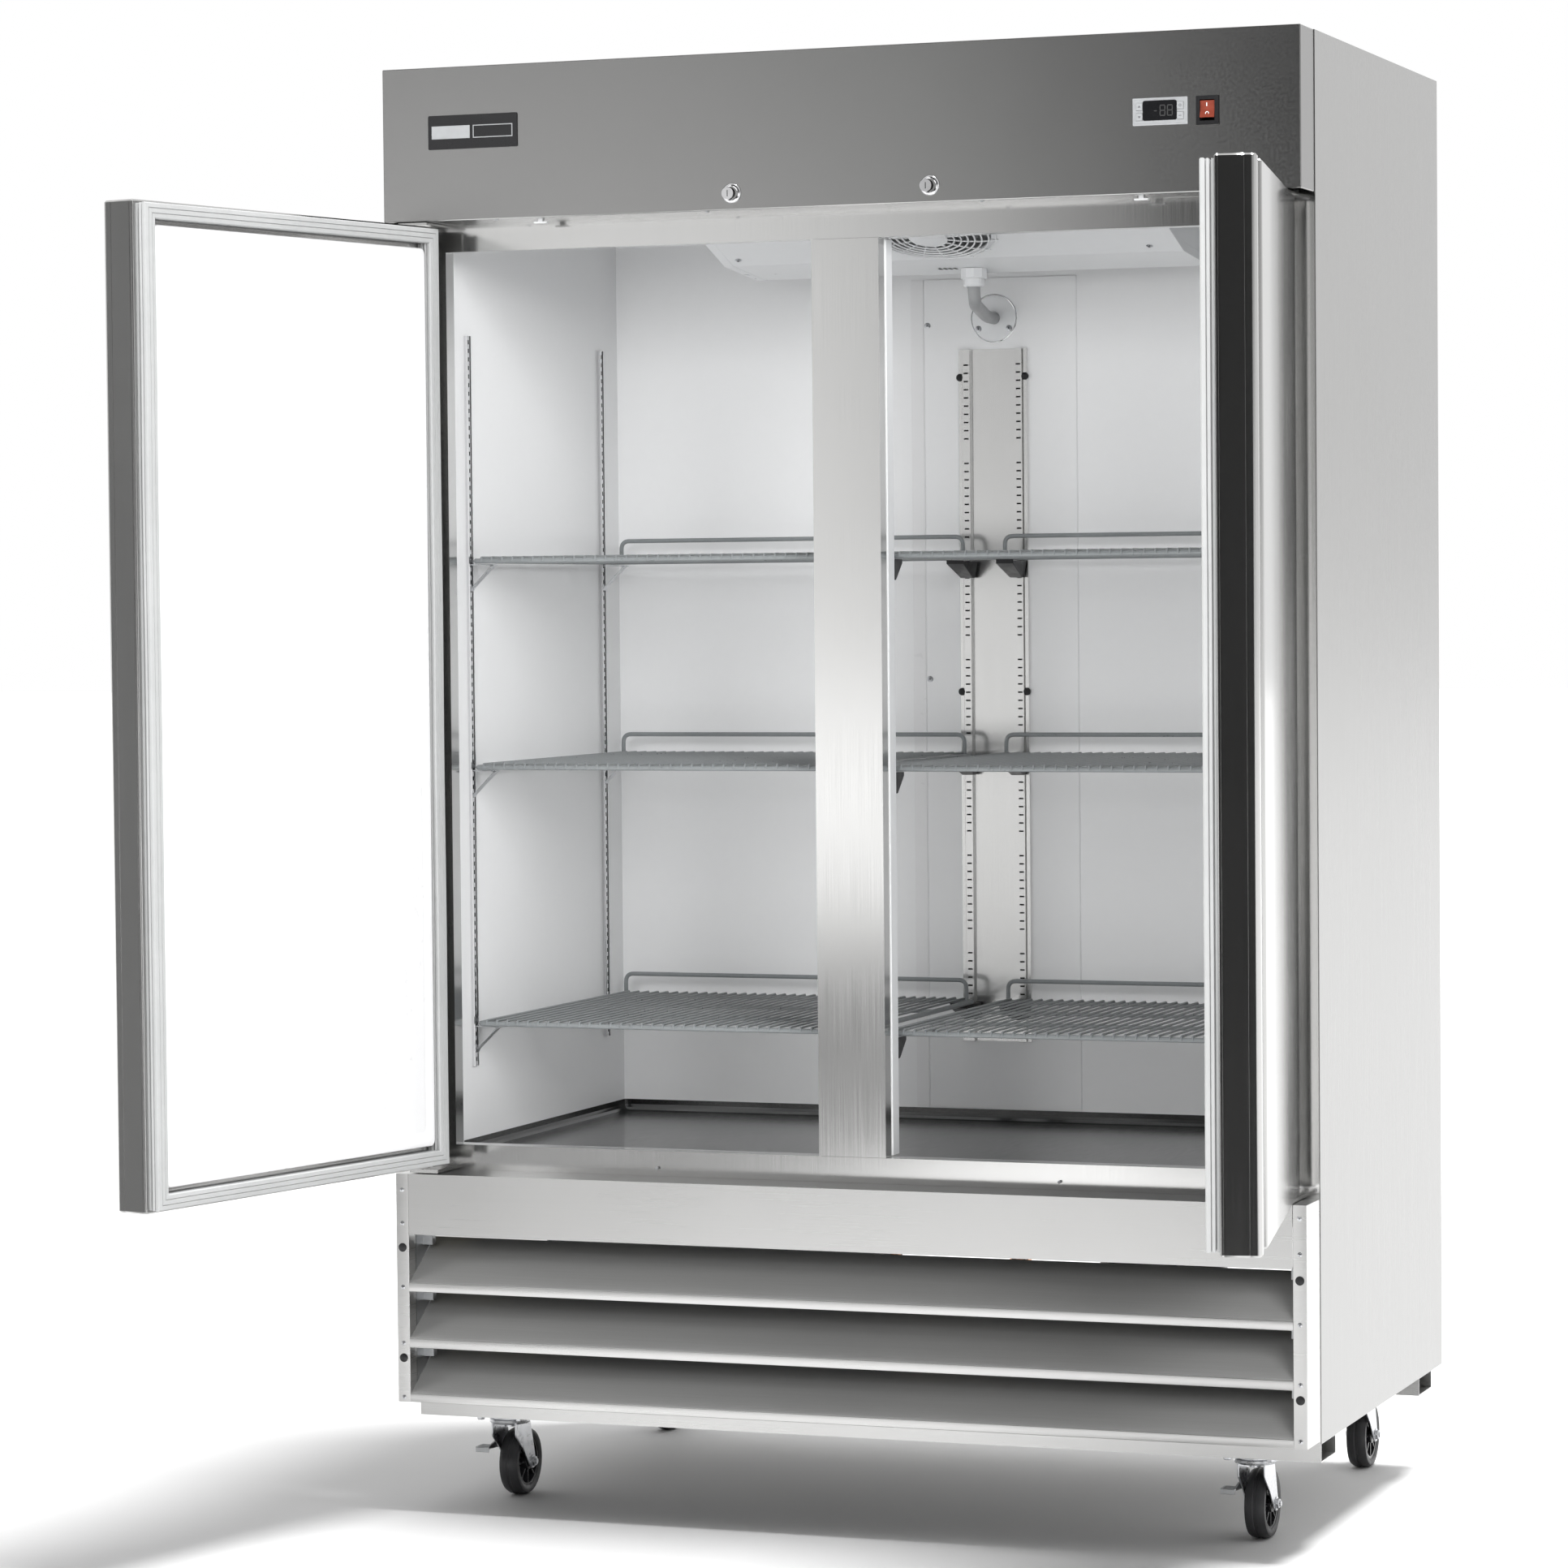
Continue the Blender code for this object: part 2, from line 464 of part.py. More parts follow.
# ---- doors and their hinges ----
def build_door(side, s, angle):
    pin = pivot(f"hinge_axis_{side}", (s * PIVOT_X, PIVOT_Y, 0), (0, 0, s * math.radians(angle)))
    a0, a1, f, b, c = DOOR_IN, DOOR_OUT, DOOR_F, DOOR_B, 0.0015

    def outline(d):
        """Plan of the door inset by d, with the full-height pull channel by the free edge."""
        pts = [(a0 + d, b - d), (a1 - d, b - d), (a1 - d, f + 0.003), (a1 - 0.003, f + d),
               (a0 + 0.086 + d, f + d), (a0 + 0.080 + d, 0.006 + d), (a0 + 0.034 - d, 0.006 + d),
               (a0 + 0.028 - d, f + d), (a0 + 0.003, f + d), (a0 + d, f + 0.003)]
        return [(s * u, v) for u, v in pts]

    shell = prism(f"door_shell_{side}", outline(0), "Z", DOOR_LO, DOOR_HI, STEEL, parent=pin)
    cut(shell,
        prism(f"door_inside_{side}", outline(c), "Z", DOOR_LO + c, DOOR_HI - c, parent=pin),
        box(f"door_back_{side}", (s * (a0 + 0.0306), b - 0.01, DOOR_LO + 0.0324),
            (s * -0.0221, b + 0.01, DOOR_HI - 0.0324), parent=pin))
    d = c + 0.0004
    core = prism(f"door_liner_{side}", outline(d), "Z", DOOR_LO + d, DOOR_HI - d, WHITE, parent=pin)
    fuse(core, box(f"liner_panel_{side}", (s * (a0 + 0.0310), b - 0.004, DOOR_LO + 0.0328),
                   (s * -0.0225, b + 0.012, DOOR_HI - 0.0328), parent=pin))
    bore = rod(f"pin_bore_{side}", 0.0068, DOOR_LO - 0.02, DOOR_LO + 0.024, steps=16, parent=pin)
    bore_top = rod(f"pin_bore_top_{side}", 0.0068, DOOR_HI - 0.024, DOOR_HI + 0.02, steps=16, parent=pin)
    cut(shell, bore, bore_top)
    cut(core, bore, bore_top)
    g0, g1, lo, hi = a0 + 0.005, 0.002, DOOR_LO + 0.004, DOOR_HI - 0.004
    gasket = box(f"door_gasket_{side}", (s * g0, b + GAP, lo), (s * g1, 0.0558, hi), WHITE, parent=pin)
    cut(gasket, box(f"gasket_hole_{side}", (s * (g0 + 0.0235), b - 0.01, lo + 0.026),
                    (s * (g1 - 0.0235), b + 0.03, hi - 0.026), parent=pin))


def build_hinge_brackets(side, s):
    x0, x1, y0 = 0.619, 0.664, -0.069
    top = box("hinge_bracket_top_" + side, (s * x0, y0, 1.8812), (s * x1, -0.0005, 1.8842), STEEL)
    fuse(top, box("top_tab_" + side, (s * 0.648, -0.0035, 1.8830), (s * 0.662, -0.0005, 1.925)),
         rod("top_pin_" + side, 0.006, DOOR_HI - 0.018, 1.8825, steps=16, at=(s * PIVOT_X, PIVOT_Y, 0)))
    low = box("hinge_bracket_low_" + side, (s * x0, y0, 0.4995), (s * x1, -0.0005, 0.5045), STEEL)
    fuse(low, box("low_tab_" + side, (s * 0.648, -0.0035, 0.462), (s * 0.662, -0.0005, 0.501)),
         rod("low_pin_" + side, 0.006, 0.503, DOOR_LO + 0.018, steps=16, at=(s * PIVOT_X, PIVOT_Y, 0)))


build_body()
build_front()
build_header()
build_grille()
build_base()
build_machine_bay()
build_inside()
build_shelves()
for (side_name, sign), opened in zip(SIDES, (OPEN_LEFT, OPEN_RIGHT)):
    build_door(side_name, sign, opened)
    build_hinge_brackets(side_name, sign)
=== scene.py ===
"""Looks for the two-door stainless reach-in refrigerator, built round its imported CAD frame.

Metres, Z up, front towards -Y. Doors are drawn shut and turned open about their hinge pins.
"""

import json
import math

import bmesh
import bpy
from mathutils import Matrix, Vector, noise


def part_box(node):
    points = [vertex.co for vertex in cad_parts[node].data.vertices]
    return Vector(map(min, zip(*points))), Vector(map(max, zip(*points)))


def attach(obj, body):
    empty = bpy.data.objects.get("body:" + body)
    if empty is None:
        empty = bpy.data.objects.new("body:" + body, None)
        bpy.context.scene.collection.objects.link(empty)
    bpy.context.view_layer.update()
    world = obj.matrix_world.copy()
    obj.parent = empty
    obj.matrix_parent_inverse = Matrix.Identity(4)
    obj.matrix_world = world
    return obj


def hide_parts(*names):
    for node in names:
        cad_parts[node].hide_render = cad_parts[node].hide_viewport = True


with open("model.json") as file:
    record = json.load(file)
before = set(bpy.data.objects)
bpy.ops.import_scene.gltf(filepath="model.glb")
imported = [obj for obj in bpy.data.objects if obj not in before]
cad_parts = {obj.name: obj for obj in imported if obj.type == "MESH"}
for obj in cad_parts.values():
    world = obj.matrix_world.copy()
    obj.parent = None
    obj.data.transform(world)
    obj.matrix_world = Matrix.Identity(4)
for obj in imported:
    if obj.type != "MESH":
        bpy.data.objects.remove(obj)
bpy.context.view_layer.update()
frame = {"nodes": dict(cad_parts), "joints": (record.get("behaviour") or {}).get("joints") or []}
NODES = frame["nodes"]
JOINTS = {j["name"]: j for j in frame["joints"]}
SIDES = (("left", -1), ("right", 1))
LEVELS = ("top", "middle", "bottom")


# ---- materials ----
def surface(name, colour, rough, metallic=0.0, grain=(40, 40, 40), streak=0.0, cloud=0.0,
            cloud_scale=3.0, rough_vary=0.0, bump=0.0, brushed=False):
    """A node material: colour times fine grain times slow clouding, uneven gloss and a fine bump."""
    m = bpy.data.materials.new(name)
    m.use_nodes = True
    tree = m.node_tree
    shader = tree.nodes["Principled BSDF"]
    shader.inputs["Metallic"].default_value = metallic

    def node(kind, **settings):
        n = tree.nodes.new(kind)
        for k, v in settings.items():
            setattr(n, k, v)
        return n

    def noise_of(scale, stretch, detail):
        mapping = node("ShaderNodeMapping")
        mapping.inputs["Scale"].default_value = stretch
        tree.links.new(coords.outputs["Object"], mapping.inputs["Vector"])
        n = node("ShaderNodeTexNoise")
        n.inputs["Scale"].default_value, n.inputs["Detail"].default_value = scale, detail
        tree.links.new(mapping.outputs["Vector"], n.inputs["Vector"])
        return n.outputs["Fac"]

    def ranged(source, lo, hi):
        r = node("ShaderNodeMapRange")
        r.inputs["From Min"].default_value, r.inputs["From Max"].default_value = 0.3, 0.7
        r.inputs["To Min"].default_value, r.inputs["To Max"].default_value = lo, hi
        tree.links.new(source, r.inputs["Value"])
        return r.outputs["Result"]

    coords = node("ShaderNodeTexCoord")
    fine = noise_of(1.0, grain, 4.0)
    slow = noise_of(cloud_scale, (1, 1, 1), 3.0)
    times = node("ShaderNodeMath", operation="MULTIPLY")
    tree.links.new(ranged(fine, 1 - streak, 1 + streak), times.inputs[0])
    tree.links.new(ranged(slow, 1 - cloud, 1 + cloud), times.inputs[1])
    tint = node("ShaderNodeVectorMath", operation="SCALE")
    tint.inputs[0].default_value = colour
    tree.links.new(times.outputs["Value"], tint.inputs["Scale"])
    tree.links.new(tint.outputs["Vector"], shader.inputs["Base Color"])
    gloss = node("ShaderNodeMath", operation="ADD")
    tree.links.new(ranged(fine, rough - rough_vary, rough + rough_vary), gloss.inputs[0])
    tree.links.new(ranged(slow, -rough_vary / 2, rough_vary / 2), gloss.inputs[1])
    tree.links.new(gloss.outputs["Value"], shader.inputs["Roughness"])
    if bump:
        b = node("ShaderNodeBump")
        b.inputs["Strength"].default_value, b.inputs["Distance"].default_value = bump, 0.0004
        height = fine if brushed else noise_of(300.0, (1, 1, 1), 2.0)
        tree.links.new(height, b.inputs["Height"])
        tree.links.new(b.outputs["Normal"], shader.inputs["Normal"])
    return m


def steel(name, tone, rough, grain, streak, cloud=0.04):
    """Brushed stainless, a little warm, with its grain as the bump."""
    colour = (tone, tone * 0.997, tone * 0.985)
    return surface(name, colour, rough, 1.0, grain, streak, cloud, 2.2, 0.03, 0.006, brushed=True)


ALONG_X, ALONG_Z = (5, 5, 1300), (1100, 1100, 6)
HEADER = steel("header_brushed_steel", 0.50, 0.22, (260, 260, 260), 0.02)
# The header steel again, darker, for the header's two end faces: painted shade on its ends.
HEADER_END_SHADE_STEEL = steel("header_end_painted_shade_steel", 0.28, 0.24, (260, 260, 260), 0.02)
FRONT = steel("front_brushed_steel", 0.66, 0.30, ALONG_X, 0.01)
# The recessed louvre blades: a darker, part-diffuse copy of the front steel. Real light shades it through its
# diffuse part, and its darker tone is painted shade in the recesses.
LOUVRE_SHADE_STEEL = surface("louvre_blade_painted_shade_steel", (0.27, 0.27, 0.266), 0.42, 0.35, ALONG_X, 0.03, 0.03)
SIDE = steel("side_brushed_steel", 0.395, 0.30, ALONG_Z, 0.006, 0.02)
DOOR = steel("door_brushed_steel", 0.52, 0.15, ALONG_Z, 0.03)
BRIGHT = steel("bright_brushed_steel", 0.84, 0.22, ALONG_Z, 0.02)
FRAME = steel("frame_brushed_steel", 0.76, 0.13, ALONG_Z, 0.02)
PAN = steel("pan_rolled_steel", 0.23, 0.20, (300, 20, 300), 0.03)
ZINC = surface("zinc_plating", (0.66, 0.67, 0.69), 0.30, 1.0, (90, 90, 90), 0.06, 0.10, 25.0, 0.08, 0.05)
CHROME = surface("chrome_plating", (0.80, 0.80, 0.81), 0.12, 1.0, (60, 60, 60), 0.02, 0.03, 9.0, 0.03)
GALVANISED = surface("galvanised_sheet", (0.55, 0.56, 0.57), 0.42, 1.0, (30, 30, 30), 0.03, 0.02, 6.0,
                     0.10, 0.05)
COPPER = surface("copper_tube", (0.72, 0.40, 0.25), 0.30, 1.0, (60, 60, 60), 0.08, 0.15, 14.0, 0.08)
FINS = surface("aluminium_fins", (0.70, 0.71, 0.72), 0.40, 1.0, (200, 200, 20), 0.08, 0.06, 8.0, 0.06)
LINER = surface("white_liner", (0.84, 0.845, 0.85), 0.33, 0.0, (60, 60, 60), 0.004, 0.012, 2.0, 0.03, 0.05)
DOOR_WHITE = surface("white_door_panel", (0.80, 0.80, 0.805), 0.30, 0.0, (60, 60, 60), 0.004, 0.008, 2.0,
                     0.03, 0.04)
PLASTIC = surface("white_plastic", (0.80, 0.81, 0.82), 0.30, 0.0, (50, 50, 50), 0.006, 0.01, 5.0, 0.02, 0.01)
GASKET = surface("white_gasket", (0.40, 0.405, 0.405), 0.50, 0.0, (80, 80, 80), 0.02, 0.03, 7.0, 0.05, 0.08)
EPOXY = surface("grey_epoxy", (0.23, 0.245, 0.25), 0.34, 0.0, (120, 120, 120), 0.05, 0.06, 9.0, 0.06, 0.10)
BLACK = surface("black_plastic", (0.012, 0.012, 0.013), 0.40, 0.0, (90, 90, 90), 0.06, 0.10, 12.0, 0.06, 0.08)
DARK = surface("slot_shadow", (0.004, 0.004, 0.004), 0.70, 0.0, (90, 90, 90), 0.05, 0.05)
RUBBER = surface("black_tread", (0.014, 0.014, 0.015), 0.42, 0.0, (150, 150, 150), 0.10, 0.12, 20.0,
                 0.08, 0.12)
HUB = surface("black_hub", (0.010, 0.010, 0.011), 0.26, 0.0, (90, 90, 90), 0.06, 0.08, 15.0, 0.05, 0.05)
ENAMEL = surface("black_enamel", (0.015, 0.015, 0.017), 0.30, 0.0, (40, 40, 40), 0.05, 0.10, 10.0, 0.08, 0.10)
BEZEL = surface("silver_plastic", (0.42, 0.43, 0.44), 0.36, 0.3, (120, 120, 120), 0.03, 0.03, 15.0,
                0.04, 0.06)
GLASS = surface("display_window", (0.008, 0.008, 0.009), 0.10, 0.0, (90, 90, 90), 0.05, 0.05, 20.0, 0.02)
DIGIT = surface("unlit_segment", (0.045, 0.045, 0.045), 0.30, 0.0, (90, 90, 90), 0.05, 0.05)
INK = surface("printed_mark", (0.70, 0.70, 0.70), 0.45, 0.0, (90, 90, 90), 0.04, 0.05)
GREY_INK = surface("printed_icon", (0.10, 0.10, 0.11), 0.45, 0.0, (90, 90, 90), 0.04, 0.05)
RED = surface("red_translucent", (0.20, 0.042, 0.026), 0.16, 0.0, (60, 60, 60), 0.05, 0.12, 60.0, 0.04)
HOSE = surface("grey_hose", (0.36, 0.365, 0.37), 0.38, 0.0, (60, 60, 60), 0.03, 0.05, 12.0, 0.05, 0.06)
FOAM = surface("foam", (0.78, 0.70, 0.46), 0.90, 0.0, (60, 60, 60), 0.05, 0.06, 8.0, 0.03, 0.10)
FAN = surface("grey_fan", (0.40, 0.41, 0.42), 0.40, 0.0, (60, 60, 60), 0.03, 0.05, 12.0, 0.05, 0.06)
BADGE = surface("blank_badge", (0.014, 0.014, 0.015), 0.22, 0.0, (60, 60, 60), 0.05, 0.08, 25.0, 0.04)


# ---- mesh building ----
def new_object(name, bm, materials):
    mesh = bpy.data.meshes.new(name)
    bm.to_mesh(mesh)
    bm.free()
    for material in materials:
        mesh.materials.append(material)
    o = bpy.data.objects.new(name, mesh)
    bpy.context.scene.collection.objects.link(o)
    return o


def add_bevel(o, width):
    bevel = o.modifiers.new("edges", "BEVEL")
    bevel.width, bevel.segments, bevel.limit_method = width, 2, "ANGLE"
    bevel.angle_limit = math.radians(50)


def piece(name, bm, materials, body, smooth=True, bevel=0.0, replaces=()):
    """Turns a bmesh into a shown piece that rides on a body."""
    bmesh.ops.recalc_face_normals(bm, faces=bm.faces)
    o = new_object(name, bm, materials if isinstance(materials, list) else [materials])
    if smooth:
        for face in o.data.polygons:
            face.use_smooth = True
        o.data.set_sharp_from_angle(angle=math.radians(35))
    if bevel:
        add_bevel(o, bevel)
    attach(o, body)
    if replaces:
        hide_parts(*replaces)


def add_box(bm, lo, hi, mat=0, matrix=None):
    """A box between two opposite corners, given in any order."""
    lo, hi = [min(a, b) for a, b in zip(lo, hi)], [max(a, b) for a, b in zip(lo, hi)]
    v = [bm.verts.new((x, y, z)) for x in (lo[0], hi[0]) for y in (lo[1], hi[1]) for z in (lo[2], hi[2])]
    for f in ((0, 1, 3, 2), (4, 6, 7, 5), (0, 4, 5, 1), (2, 3, 7, 6), (0, 2, 6, 4), (1, 5, 7, 3)):
        bm.faces.new([v[i] for i in f]).material_index = mat
    if matrix:
        bmesh.ops.transform(bm, matrix=matrix, verts=v)


def add_rings(bm, rings, caps=True, mat=0, loop=False):
    """Joins rings of points into a skin. loop also joins the last ring to the first."""
    made = [[bm.verts.new(p) for p in ring] for ring in rings]
    pairs = list(zip(made, made[1:])) + ([(made[-1], made[0])] if loop else [])
    for a, b in pairs:
        n = len(a)
        for i in range(n):
            j = (i + 1) % n
            bm.faces.new((a[i], a[j], b[j], b[i])).material_index = mat
    if caps and not loop:
        bm.faces.new(made[0]).material_index = mat
        bm.faces.new(made[-1]).material_index = mat


def frame_of(direction):
    """Two directions square to this one."""
    d = Vector(direction).normalized()
    a = d.cross(Vector((0, 0, 1)) if abs(d.z) < 0.9 else Vector((0, 1, 0))).normalized()
    return a, d.cross(a)


def add_lathe(bm, profile, at, axis, steps=32, mat=0, loop=False):
    """Turns (radius, height) points about axis through at."""
    d = Vector(axis).normalized()
    a, b = frame_of(d)
    at = Vector(at)
    rings = []
    for r, h in profile:
        r = max(r, 0.00002)
        rings.append([at + d * h + (a * math.cos(t) + b * math.sin(t)) * r
                      for t in (2 * math.pi * k / steps for k in range(steps))])
    add_rings(bm, rings, caps=not loop, mat=mat, loop=loop)


def add_tube(bm, points, radius, sides=8, mat=0, loop=False):
    """A round bar along points, with its section carried along without twist."""
    pts = [Vector(p) for p in points]
    n = len(pts)
    rings, side = [], None
    for i, p in enumerate(pts):
        before = pts[i - 1] if i or loop else p
        after = pts[(i + 1) % n] if i < n - 1 or loop else p
        d = (after - before).normalized()
        if side is None:
            side = frame_of(d)[0]
        side = (side - d * side.dot(d)).normalized()
        other = d.cross(side)
        rings.append([p + (side * math.cos(t) + other * math.sin(t)) * radius
                      for t in (2 * math.pi * k / sides for k in range(sides))])
    add_rings(bm, rings, mat=mat, loop=loop, caps=not loop)


def bend(points, radius, steps=5):
    """The same path with its corners rounded."""
    pts = [Vector(p) for p in points]
    out = [pts[0]]
    for a, b, c in zip(pts, pts[1:], pts[2:]):
        p, q = (a - b).normalized(), (c - b).normalized()
        reach = min(radius, (a - b).length / 2.01, (c - b).length / 2.01)
        start, end = b + p * reach, b + q * reach
        for k in range(steps + 1):
            t = k / steps
            out.append(start * (1 - t) ** 2 + b * 2 * t * (1 - t) + end * t ** 2)
    return out + [pts[-1]]


def rounded(corners, steps=5):
    """A closed flat outline of (x, y, radius) corners with round fillets."""
    out, n = [], len(corners)
    for i, (x, y, r) in enumerate(corners):
        b = Vector((x, y))
        a, c = Vector(corners[i - 1][:2]), Vector(corners[(i + 1) % n][:2])
        if r <= 0:
            out.append((x, y))
            continue
        p, q = (a - b).normalized(), (c - b).normalized()
        half = math.acos(max(-1, min(1, p.dot(q)))) / 2
        reach = min(r / math.tan(half), (a - b).length * 0.49, (c - b).length * 0.49)
        r = reach * math.tan(half)
        centre = b + (p + q).normalized() * (r / math.sin(half))
        t0 = math.atan2(*(b + p * reach - centre).yx)
        turn = math.atan2(*(b + q * reach - centre).yx) - t0
        turn = (turn + math.pi) % (2 * math.pi) - math.pi
        angles = [t0 + turn * k / steps for k in range(steps + 1)]
        out += [(centre.x + r * math.cos(t), centre.y + r * math.sin(t)) for t in angles]
    return out


def shrink(outline, d):
    """The outline moved inwards by d."""
    n = len(outline)
    area = sum(outline[i - 1][0] * outline[i][1] - outline[i][0] * outline[i - 1][1] for i in range(n))
    sign = 1 if area > 0 else -1
    out = []
    for i in range(n):
        a, b, c = Vector(outline[i - 1]), Vector(outline[i]), Vector(outline[(i + 1) % n])
        e, f = (b - a).normalized(), (c - b).normalized()
        m = Vector((-e.y - f.y, e.x + f.x)) * sign
        out.append(tuple(b + m.normalized() * d) if m.length > 1e-6 else tuple(b))
    return out


def add_prism(bm, outline, lo, hi, edge=0.0, axis="Z", mat=0, matrix=None):
    """Extrudes an outline along axis, with its two ends chamfered by edge."""
    order = {"X": (2, 0, 1), "Y": (0, 2, 1), "Z": (0, 1, 2)}[axis]
    levels = [(lo, outline), (hi, outline)]
    if edge:
        small = shrink(outline, edge)
        levels = [(lo, small), (lo + edge, outline), (hi - edge, outline), (hi, small)]
    rings = [[Vector([(u, v, z)[k] for k in order]) for u, v in ring] for z, ring in levels]
    if matrix:
        rings = [[matrix @ p for p in ring] for ring in rings]
    add_rings(bm, rings, mat=mat)


def add_screw(bm, at, normal, radius=0.004, turn=0.4):
    """A pan-head screw with a washer ring (material 0) and a crossed recess (material 1)."""
    n = Vector(normal).normalized()
    r = radius
    add_lathe(bm, [(0, 0), (r * 1.25, 0), (r * 1.3, r * 0.10), (r, r * 0.18), (r * 0.93, r * 0.32),
                   (r * 0.6, r * 0.46), (0, r * 0.5)], at, n, 20)
    a, b = frame_of(n)
    a, b = a * math.cos(turn) + b * math.sin(turn), b * math.cos(turn) - a * math.sin(turn)
    for p, q in ((a, b), (b, -a)):
        m = Matrix((p, q, n)).transposed().to_4x4()
        m.translation = Vector(at)
        add_box(bm, (-r * 0.52, -r * 0.10, r * 0.30), (r * 0.52, r * 0.10, r * 0.515), 1, m)


def screws(name, places, normal, radius):
    bm = bmesh.new()
    for k, at in enumerate(places):
        add_screw(bm, at, normal, radius, 0.3 + 0.7 * k)
    piece(name, bm, [ZINC, DARK], "cabinet")


def add_slotted(bm, corner, across, along, out, width, length, slots, slot_w, slot_h, depth):
    """A flat strip with a row of oblong holes; slots are heights from corner. Holes end in material 1."""
    c, u, w, n = (Vector(v) for v in (corner, across, along, out))
    x0, x1 = (width - slot_w) / 2, (width + slot_w) / 2

    def quad(p, mat=0):
        bm.faces.new([bm.verts.new(c + u * a + w * b + n * d) for a, b, d in p]).material_index = mat

    at = 0.0
    for s in list(slots) + [None]:
        top = length if s is None else s - slot_h / 2
        quad([(0, at, 0), (width, at, 0), (width, top, 0), (0, top, 0)])
        if s is None:
            break
        at = s + slot_h / 2
        quad([(0, top, 0), (x0, top, 0), (x0, at, 0), (0, at, 0)])
        quad([(x1, top, 0), (width, top, 0), (width, at, 0), (x1, at, 0)])
        ring = [(x0, top), (x1, top), (x1, at), (x0, at)]
        for i in range(4):
            (a, b), (e, f) = ring[i], ring[(i + 1) % 4]
            quad([(a, b, 0), (e, f, 0), (e, f, -depth), (a, b, -depth)], 1)
        quad([(a, b, -depth) for a, b in ring], 1)


def dress(node, material, bevel=0.0):
    """Gives a CAD solid its material, and softer edges where it shows as it is."""
    o = NODES[node]
    o.data.materials.clear()
    o.data.materials.append(material)
    if bevel:
        add_bevel(o, bevel)


def rectangle(x0, z0, x1, z1, radius):
    """A rectangular outline with round corners."""
    return rounded([(x0, z0, radius), (x1, z0, radius), (x1, z1, radius), (x0, z1, radius)])


# ---- carried-over solids ----
for node_name, look in {
    "outer_shell": SIDE, "rear_panel": GALVANISED, "insulation": FOAM, "inner_liner": LINER,
    "floor_pan": PAN, "face_frame": FRAME, "centre_mullion": FRAME, "header_cover": HEADER,
    "controller_housing": BEZEL, "switch_bezel": BLACK, "switch_rocker": RED, "kick_panel": FRONT,
    "base_frame": FRONT, "compressor": ENAMEL, "condenser_fan": GALVANISED, "evaporator_fan": FAN,
    "evaporator_housing": PLASTIC, "drain_hose": HOSE, "drain_wall_plate": PLASTIC,
}.items():
    dress(node_name, look)
for k in range(4):
    dress(f"controller_key_{k + 1}", BEZEL, 0.0005)
# Faces square to X, the header's two ends, take the darker steel: painted shade.
NODES["header_cover"].data.materials.append(HEADER_END_SHADE_STEEL)
for face in NODES["header_cover"].data.polygons:
    face.material_index = int(abs(face.normal.x) > 0.9)
for side, s in SIDES:
    dress("lock_plug_" + side, CHROME)
    dress("door_switch_" + side, PLASTIC, 0.0006)
    dress("hinge_bracket_top_" + side, BRIGHT, 0.0005)
    dress("hinge_bracket_low_" + side, BRIGHT, 0.0005)


# ---- header: blank badge, controller, rocker, locks, screws ----
def build_badge():
    """A black plate with a solid bar and an outlined one."""
    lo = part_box("header_cover")[0]
    face = lo.y
    bm = bmesh.new()
    x0, z0 = lo.x + 0.073, lo.z + 0.103
    add_prism(bm, rectangle(x0, z0, x0 + 0.140, z0 + 0.049, 0.002), face - 0.0022, face, 0.0005, "Y")
    add_box(bm, (x0 + 0.006, face - 0.0025, z0 + 0.0150), (x0 + 0.066, face - 0.0021, z0 + 0.0335), 1)
    for a, b, c, d in ((0.071, 0.0150, 0.133, 0.0162), (0.071, 0.0323, 0.133, 0.0335),
                       (0.071, 0.0162, 0.0722, 0.0323), (0.1318, 0.0162, 0.133, 0.0323)):
        add_box(bm, (x0 + a, face - 0.0025, z0 + b), (x0 + c, face - 0.0021, z0 + d), 1)
    piece("blank_badge_plate", bm, [BADGE, BEZEL], "cabinet", smooth=False)


def build_controller():
    """The window with its unlit digits, and the raised rim round the housing."""
    lo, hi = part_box("controller_housing")
    cx, cz, front = (lo.x + hi.x) / 2, (lo.z + hi.z) / 2, lo.y
    bm = bmesh.new()
    window = rectangle(cx - 0.0243, cz - 0.0125, cx + 0.0243, cz + 0.0150, 0.003)
    add_prism(bm, window, front - 0.0007, front + 0.0005, 0.0003, "Y")
    w, h, t = 0.0034, 0.0070, 0.0007  # half width, half height and half stroke of a digit
    bars = [(-w, h - t, w, h + t), (-w, -t, w, t), (-w, -h - t, w, -h + t), (-w - t, t, -w + t, h - t),
            (w - t, t, w + t, h - t), (-w - t, -h + t, -w + t, -t), (w - t, -h + t, w + t, -t)]
    for digit in range(2):
        x, z = cx + 0.004 + 0.0105 * digit, cz + 0.0010
        for a, b, c, d in bars:
            add_box(bm, (x + a, front - 0.0009, z + b), (x + c, front - 0.0006, z + d), 1)
    add_box(bm, (cx - 0.008, front - 0.0009, cz), (cx - 0.004, front - 0.0006, cz + 0.0013), 1)
    piece("display_window", bm, [GLASS, DIGIT], "cabinet", smooth=False)
    bm = bmesh.new()
    rim = rectangle(lo.x + 0.0012, lo.z + 0.0012, hi.x - 0.0012, hi.z - 0.0012, 0.003)
    ring = [[Vector((x, y, z)) for x, z in shrink(rim, d)]
            for d, y in ((0, front), (0.0004, front - 0.0006), (0.0012, front - 0.0006), (0.0016, front))]
    add_rings(bm, ring, caps=False)
    piece("controller_rim", bm, BEZEL, "cabinet")


